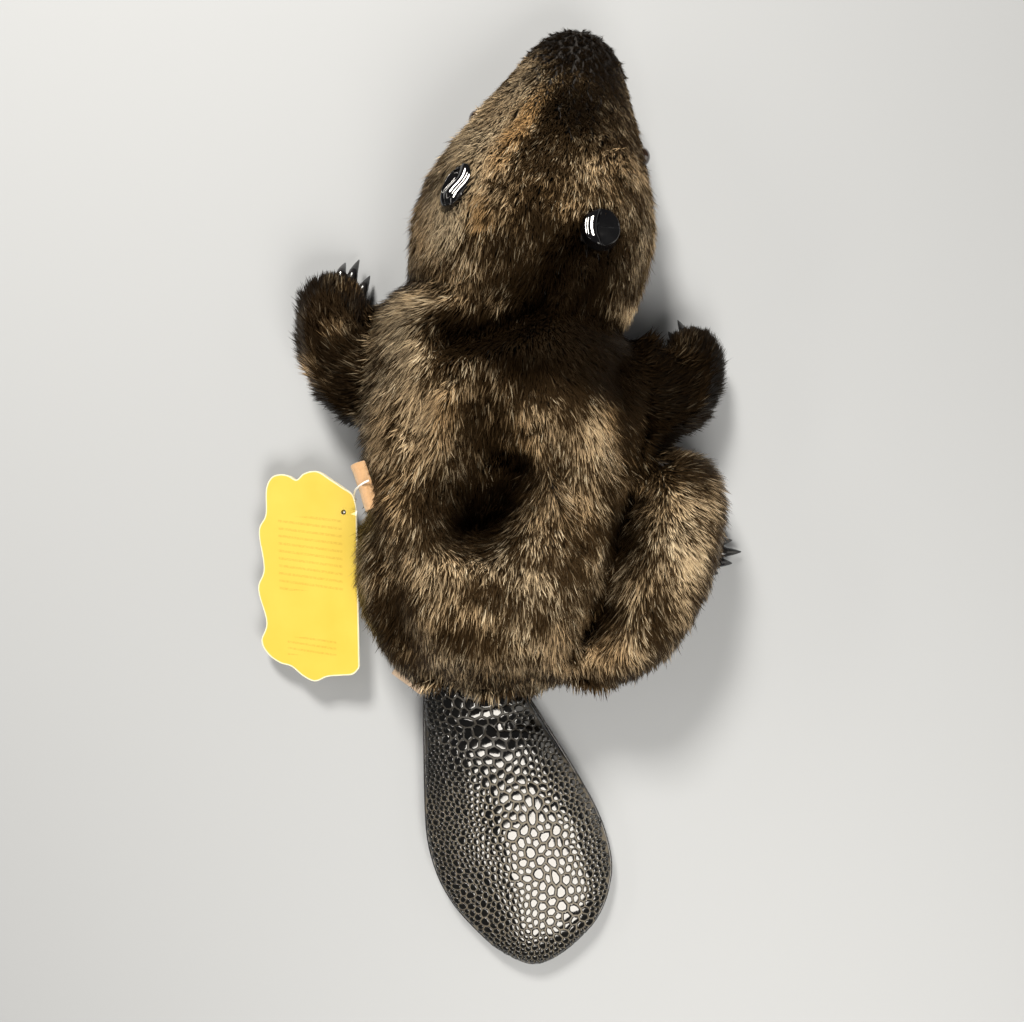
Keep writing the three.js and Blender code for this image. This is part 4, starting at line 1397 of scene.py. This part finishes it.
covered(teeth, felt)
placed(teeth, "felt", "incisors")
print("incisor faces:", len(teeth.data.polygons))

# %% [markdown]
# ## The lining
#
# A hand puppet is lined with thin woven cloth, sewn as a bag and caught at the mouth. The CAD lining is a
# thin wall. A fine remesh keeps that wall, and soft wrinkles are pressed in towards the hand only.

# %% Woven cloth finish
def woven_material(name, dark, light, thread, sheen_float, rough):
    made, tree, shader = new_material(name)
    place = add(tree, "ShaderNodeTexCoord").outputs["Object"]
    weave = add(tree, "ShaderNodeGroup", {"Place": place, "Thread": thread, "Float": sheen_float},
                node_tree=weave_tree)
    painted(tree, shader, mix(tree, weave.outputs["Slub"], dark, light),
            graded(tree, weave.outputs["Height"], [(0.0, rough + 0.12), (1.0, rough)]),
            (weave.outputs["Height"], 0.5, 0.00012))
    shader.inputs["Sheen Weight"].default_value = 0.25
    return made


lining_cloth = woven_material("lining_cloth", (0.13, 0.068, 0.04), (0.19, 0.105, 0.062), 0.45 * MM, 1.0, 0.6)
LINING_VOXEL, LINING_ROUNDS, WRINKLE, WRINKLE_SIZE = 0.75 * MM, 3, 0.35, 7
lining = melted("lining_bag", [merged("pocket_lining")], LINING_VOXEL, LINING_ROUNDS)
bag_points, bag_normals = points_of(lining.data), normals_of(lining.data)
wrinkle = WRINKLE * rumple(plan_of(bag_points) * (1.0, 0.45, 1.0), WRINKLE_SIZE, 5.5)
set_points(lining.data, bag_points - bag_normals * (MM * np.maximum(wrinkle, 0))[:, None])
covered(lining, lining_cloth)
placed(lining, "lining", "pocket_lining")
print("lining faces:", len(lining.data.polygons))

# %% [markdown]
# ## Ribbon labels
#
# Both labels are bare loops of satin ribbon with their two ends caught in a seam. Each is a strip folded
# double round a soft turn, so it is drawn as one line, its width added, and a thin wall given last.

# %% Folded ribbons
RIBBON_BEND, RIBBON_STEPS, BEND_STEPS, COLUMNS, RIBBON_THICK = 0.35, 22, 6, 12, 0.22 * MM


def folded_ribbon(name, node, centre, along, facing, width, length, cloth, curl, seed):
    """A ribbon folded in half, its fold at the far end of the way along; curl is the radius it rolls to."""
    along, facing = Vector(along).normalized(), Vector(facing)
    aside = along.cross(facing).normalized()
    facing = aside.cross(along)
    half, bend, columns = length / 2, RIBBON_BEND, COLUMNS
    line = [(s, bend) for s in np.linspace(-half, half - bend, RIBBON_STEPS)]
    line += [(half - bend + bend * math.sin(a), bend * math.cos(a))
             for a in np.linspace(0.4, math.pi - 0.4, BEND_STEPS)]
    line += [(s, -bend) for s in np.linspace(half - bend, -half, RIBBON_STEPS)]
    places = []
    for s, high in line:
        for c in range(columns + 1):
            w = (c / columns - 0.5) * width
            wave = noise.noise(Vector((s / 5.5, w / 4.5, seed))) * 0.5
            wave += 0.25 * math.sin(w * 1.1 + seed) * ramp(np.array(s), -half, half)
            rolled = math.sin(w / curl) * (curl + high + wave)
            places.append(at(*centre) + (along * s + aside * rolled + facing * (
                math.cos(w / curl) * (curl + high + wave) - curl)) * MM)
    row = columns + 1
    faces = [(r * row + c, r * row + c + 1, (r + 1) * row + c + 1, (r + 1) * row + c)
             for r in range(len(line) - 1) for c in range(columns)]
    mesh = bpy.data.meshes.new(name)
    mesh.from_pydata(places, [], faces)
    mesh.materials.append(cloth)
    made = link(name, mesh)
    wall = made.modifiers.new("wall", "SOLIDIFY")
    wall.thickness, wall.offset = RIBBON_THICK, 0.0
    smooth = made.modifiers.new("smooth", "SUBSURF")
    smooth.levels = smooth.render_levels = 1
    settled(made)
    placed(made, "satin", node)


tan_satin = woven_material("tan_satin", (0.36, 0.20, 0.09), (0.52, 0.32, 0.155), 0.3 * MM, 4.0, 0.3)
cream_satin = woven_material("cream_satin", (0.45, 0.31, 0.20), (0.56, 0.42, 0.29), 0.3 * MM, 4.0, 0.35)
folded_ribbon("side_ribbon", "side_label", (-66.0, 10.8, 52.2), (6.6, -18.5, 2), (-0.5, 0, 0.86),
              10.0, 21.5, tan_satin, 3.6, 2.0)
folded_ribbon("rump_ribbon", "rump_label", (-49, -80, 13), (0.81, -0.59, 0), (-0.14, -0.2, 0.97),
              10.0, 17.0, cream_satin, 7.0, 8.0)

# %% [markdown]
# ## The hang tag and its loop
#
# The tag is coated card, cut with a wavy edge through both leaves and folded once. Its cut edges show bare
# white stock. The two leaves are drawn flat in one net, bent round the fold, and then given the card's
# thickness, whose rim takes the white. It bears no letters, only two blocks of faint, unevenly inked rules.

# %% Card finishes
card_edge, tree, shader = new_material("card_edge")
fibre = fine_noise(tree, 3000.0, 3.0)
painted(tree, shader, mix(tree, fibre, (0.58, 0.55, 0.46), (0.70, 0.68, 0.60)), 0.85, (fibre, 0.4, 0.00006))

# each block's first and last height, its left and right end, and the pitch of its rules, all in mm
BLOCKS = ((-6.0, 30.0, -42.0, -8.0, 3.6), (-37.0, -28.0, -38.0, -12.0, 3.0))
INK, LEAN = 0.34, 0.13
card_face, tree, shader = new_material("card_face")
flat_place = add(tree, "ShaderNodeUVMap", uv_map="flat").outputs[0]
patchy = fine_noise(tree, 70.0, 3.0)
fibre = fine_noise(tree, 2200.0, 2.0)
axes = add(tree, "ShaderNodeSeparateXYZ", {0: flat_place})
across, upward = axes.outputs[0], axes.outputs[1]
leaning = maths(tree, "ADD", upward, times(tree, across, LEAN))


def between(value, low, high, soft):
    """1 where a value lies between two limits, with soft sides."""
    return times(tree, maths(tree, "DIVIDE", maths(tree, "SUBTRACT", value, low), soft, clamp=True),
                 maths(tree, "DIVIDE", maths(tree, "SUBTRACT", high, value), soft, clamp=True))


def rules(first, last, left, right, pitch):
    """Faint ruled lines in a block of the leaf, all in mm."""
    wave = maths(tree, "SINE", times(tree, leaning, 2 * math.pi / pitch))
    return times(tree, between(wave, 0.35, 2.0, 0.3), times(
        tree, between(upward, first, last, 0.3), between(across, left, right, 0.5)))


ruled = maths(tree, "ADD", *(rules(*block) for block in BLOCKS))
broken = add(tree, "ShaderNodeTexNoise", {"Vector": flat_place, "Scale": 0.9, "Detail": 2.0})
ruled = times(tree, ruled, graded(tree, broken.outputs["Fac"], [(0.38, 0.3), (0.6, 1.0)]))
yellow = mix(tree, patchy, (0.485, 0.345, 0.043), (0.535, 0.40, 0.056))
at_fold = maths(tree, "DIVIDE", maths(tree, "ABSOLUTE", across), 4.0)
worn = maths(tree, "SUBTRACT", 1.0, graded(tree, at_fold, [(0.22, 0.0), (0.32, 1.0)]))
printed = mix(tree, times(tree, ruled, INK), yellow, (0.30, 0.17, 0.015))
worn = maths(tree, "MAXIMUM", worn, graded(tree, reading(tree, "from_cut"), [(0.45, 0.9), (0.7, 0.0)]))
painted(tree, shader, mix(tree, worn, printed, (0.60, 0.57, 0.42)),
        graded(tree, patchy, [(0.3, 0.34), (0.7, 0.46)]), (fibre, 0.12, 0.00004))

# %% The card's outline and folds
TAG_FOLD, TAG_FOLD_HIGH = (-73.3, -32), 17
TAG_SLOPE, TAG_OPENING, TAG_TURN = math.radians(16.5), math.radians(4), math.radians(1)
CARD, FOLD_RADIUS = 0.45, 0.8
TAG_HOLE, HOLE_RADIUS = (-7.3, 31.5), 1.3
# how much the leaves bow and the upper one's corners lift, and how far the lower leaf has slipped, in mm
BOW, CORNER_LIFT, SLIP = 0.00045, 0.0009, 1.3
NET_PITCH, CLEAR_OF_CUT, CUT_POINTS, HOLE_POINTS = 2.6, 1.3, 150, 20
# where the wavy cut swells and dips, from the fold's upper end round to its lower end
LOBES = [
    (0, 32), (-2.4, 39.8), (-7, 43), (-13.1, 47), (-19.3, 51), (-23.4, 51.5), (-27.7, 50.3), (-31.2, 47.6),
    (-35.2, 49.6), (-39.4, 50.4), (-44.2, 49), (-47.2, 43.3), (-47.7, 31), (-51.4, 23), (-49.1, 5),
    (-52.3, -5), (-48.2, -21), (-51, -30), (-47.7, -36.4), (-41.6, -40.6), (-35.4, -42.4), (-29.6, -46.8),
    (-23.4, -49.3), (-16.9, -47), (-9.7, -46.3), (-3.7, -45.6), (0, -41.8),
]
cut = flowing(np.array(LOBES, float), np.linspace(0, 1, CUT_POINTS))
cut[:, 0] = np.minimum(1.015 * cut[:, 0], 0.0)


def inside(polygon, spots):
    """Which spots lie inside a closed outline."""
    a, b = polygon, np.roll(polygon, -1, axis=0)
    x, y = spots[:, :1], spots[:, 1:2]
    crossed = (a[None, :, 1] > y) != (b[None, :, 1] > y)
    meets = a[None, :, 0] + (y - a[None, :, 1]) * (b - a)[None, :, 0] / ((b - a)[None, :, 1] + 1e-12)
    return (crossed & (x < meets)).sum(1) % 2 == 1


def bent_card(flat):
    """Takes points of the opened card, its fold along x = 0, to their places in the frame."""
    arc = FOLD_RADIUS * math.pi / 2
    side, run = np.sign(flat[:, 0]), np.maximum(np.abs(flat[:, 0]) - arc, 0)
    turn = np.clip(flat[:, 0] / FOLD_RADIUS, -math.pi / 2, math.pi / 2)
    x, z = FOLD_RADIUS * (np.cos(turn) - 1), -FOLD_RADIUS * np.sin(turn)
    open_by = -side * TAG_OPENING / 2
    curl = -side * BOW * run ** 2 + CORNER_LIFT * np.where(side < 0, (flat[:, 1] / 10) ** 2 * run, 0)
    slipped = SLIP * (side > 0) * ramp(run, 0, 8)
    x, z = x - run * np.cos(open_by) - curl * np.sin(open_by) + slipped, z + run * np.sin(open_by) + curl
    slope = TAG_SLOPE - TAG_OPENING / 2
    x, z = x * math.cos(slope) + z * math.sin(slope), x * math.sin(slope) + z * math.cos(slope)
    y = flat[:, 1]
    c, s = math.cos(TAG_TURN), math.sin(TAG_TURN)
    places = np.stack([TAG_FOLD[0] + c * x - s * y, TAG_FOLD[1] + s * x + c * y, TAG_FOLD_HIGH + z + 1.0], 1)
    return np.array(ORIGIN) + places * MM


# %% Net, bend and thicken the card
turns = np.arange(HOLE_POINTS) * 2 * math.pi / HOLE_POINTS
hole = np.array(TAG_HOLE) + HOLE_RADIUS * np.stack([np.cos(turns), np.sin(turns)], 1)
grid = np.stack(np.meshgrid(np.arange(-53, 0, NET_PITCH), np.arange(-50, 53, NET_PITCH)), -1).reshape(-1, 2)
clear_of = np.linalg.norm(grid[:, None] - np.concatenate([cut, hole])[None], axis=2).min(1) > CLEAR_OF_CUT
grid = grid[inside(cut, grid) & clear_of & (grid[:, 0] < -1.6)]
fold_lines = np.array([(x, y) for x in (-1.26, -0.9, -0.45, 0.0) for y in np.arange(-41.5, 32.1, 2.3)])
half_card = np.concatenate([cut, hole, grid, fold_lines])
mirror = half_card[half_card[:, 0] < -1e-6] * (-1, 1)
spots = np.concatenate([half_card, mirror])
corners, _, triangles, *_ = delaunay_2d_cdt([Vector(p) for p in spots], [], [], 0, 1e-5)
flat = np.array([tuple(c) for c in corners])
whole_cut = np.concatenate([cut, (cut * (-1, 1))[::-1]])
mids = np.array([flat[list(t)].mean(0) for t in triangles])
on_card = inside(whole_cut, mids)
for middle_x in (-1, 1):
    on_card &= np.linalg.norm(mids - (middle_x * abs(TAG_HOLE[0]), TAG_HOLE[1]), axis=1) > HOLE_RADIUS * 0.97
mesh = bpy.data.meshes.new("tag_card")
mesh.from_pydata([tuple(p) for p in bent_card(flat)], [], [t for t, kept in zip(triangles, on_card) if kept])
flat_map = mesh.uv_layers.new(name="flat")
flat_map.uv.foreach_set("vector", flat[corners_of(mesh)].astype(np.float32).ravel())
folded = flat * np.stack([-np.sign(flat[:, 0]), np.ones(len(flat))], 1)
from_cut = np.linalg.norm(folded[:, None] - cut, axis=2)
write_attribute(mesh, "from_cut", from_cut.min(1))
mesh.materials.append(card_face)
mesh.materials.append(card_edge)
tag_card = link("tag_card", mesh)
wall = tag_card.modifiers.new("wall", "SOLIDIFY")
wall.thickness, wall.offset, wall.material_offset_rim = CARD * MM, 0.0, 1
settled(tag_card)
tag_card.data.polygons.foreach_set("use_smooth", [False] * len(tag_card.data.polygons))
placed(tag_card, "card", "hang_tag")
print("card faces:", len(tag_card.data.polygons))

# %% The plastic loop
nylon, tree, shader = new_material("white_nylon")
cloudy = fine_noise(tree, 500.0, 2.0)
painted(tree, shader, mix(tree, cloudy, (0.70, 0.70, 0.67), (0.88, 0.88, 0.86)),
        graded(tree, cloudy, [(0.3, 0.25), (0.7, 0.42)]), (cloudy, 0.2, 0.00005))
shader.inputs["Subsurface Weight"].default_value = 0.3
shader.inputs["Subsurface Radius"].default_value = (0.001, 0.001, 0.001)

hole_place = (bent_card(np.array([TAG_HOLE]))[0] - np.array(ORIGIN)) / MM
route = [hole_place + (0, 0, -1.0), hole_place + (0.2, 0.4, -2.4), hole_place + (2.2, 2.4, -3.6),
         (-74.5, 4.6, 18), (-73.2, 6.4, 28), (-71.4, 8.2, 39), (-69.0, 10.0, 48), (-65.5, 12.0, 53.6),
         (-62.6, 13.4, 54.4)]
route = flowing(np.array(route, float), np.linspace(0, 1, 70))
LOOP_RADIUS, BAR_RADIUS, BAR_HALF = 0.43 * MM, 0.65 * MM, 3.4  # the radii in metres, the half length in mm
loop = grown(path_object("tag_loop", [at(*p) for p in route]), piping, Radius=LOOP_RADIUS, Material=nylon)
bar = np.linspace(hole_place + (-BAR_HALF, 0.2, -2.8), hole_place + (BAR_HALF, 0.2, -2.8), 9)
loop_bar = path_object("tag_loop_bar", [at(*p) for p in bar])
grown(loop_bar, piping, Radius=BAR_RADIUS, Material=nylon)
placed(loop, "clear_plastic", "tag_fastener")
placed(loop_bar, "clear_plastic")

# %% Bounds of the shown objects, the floor left out
low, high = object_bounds()
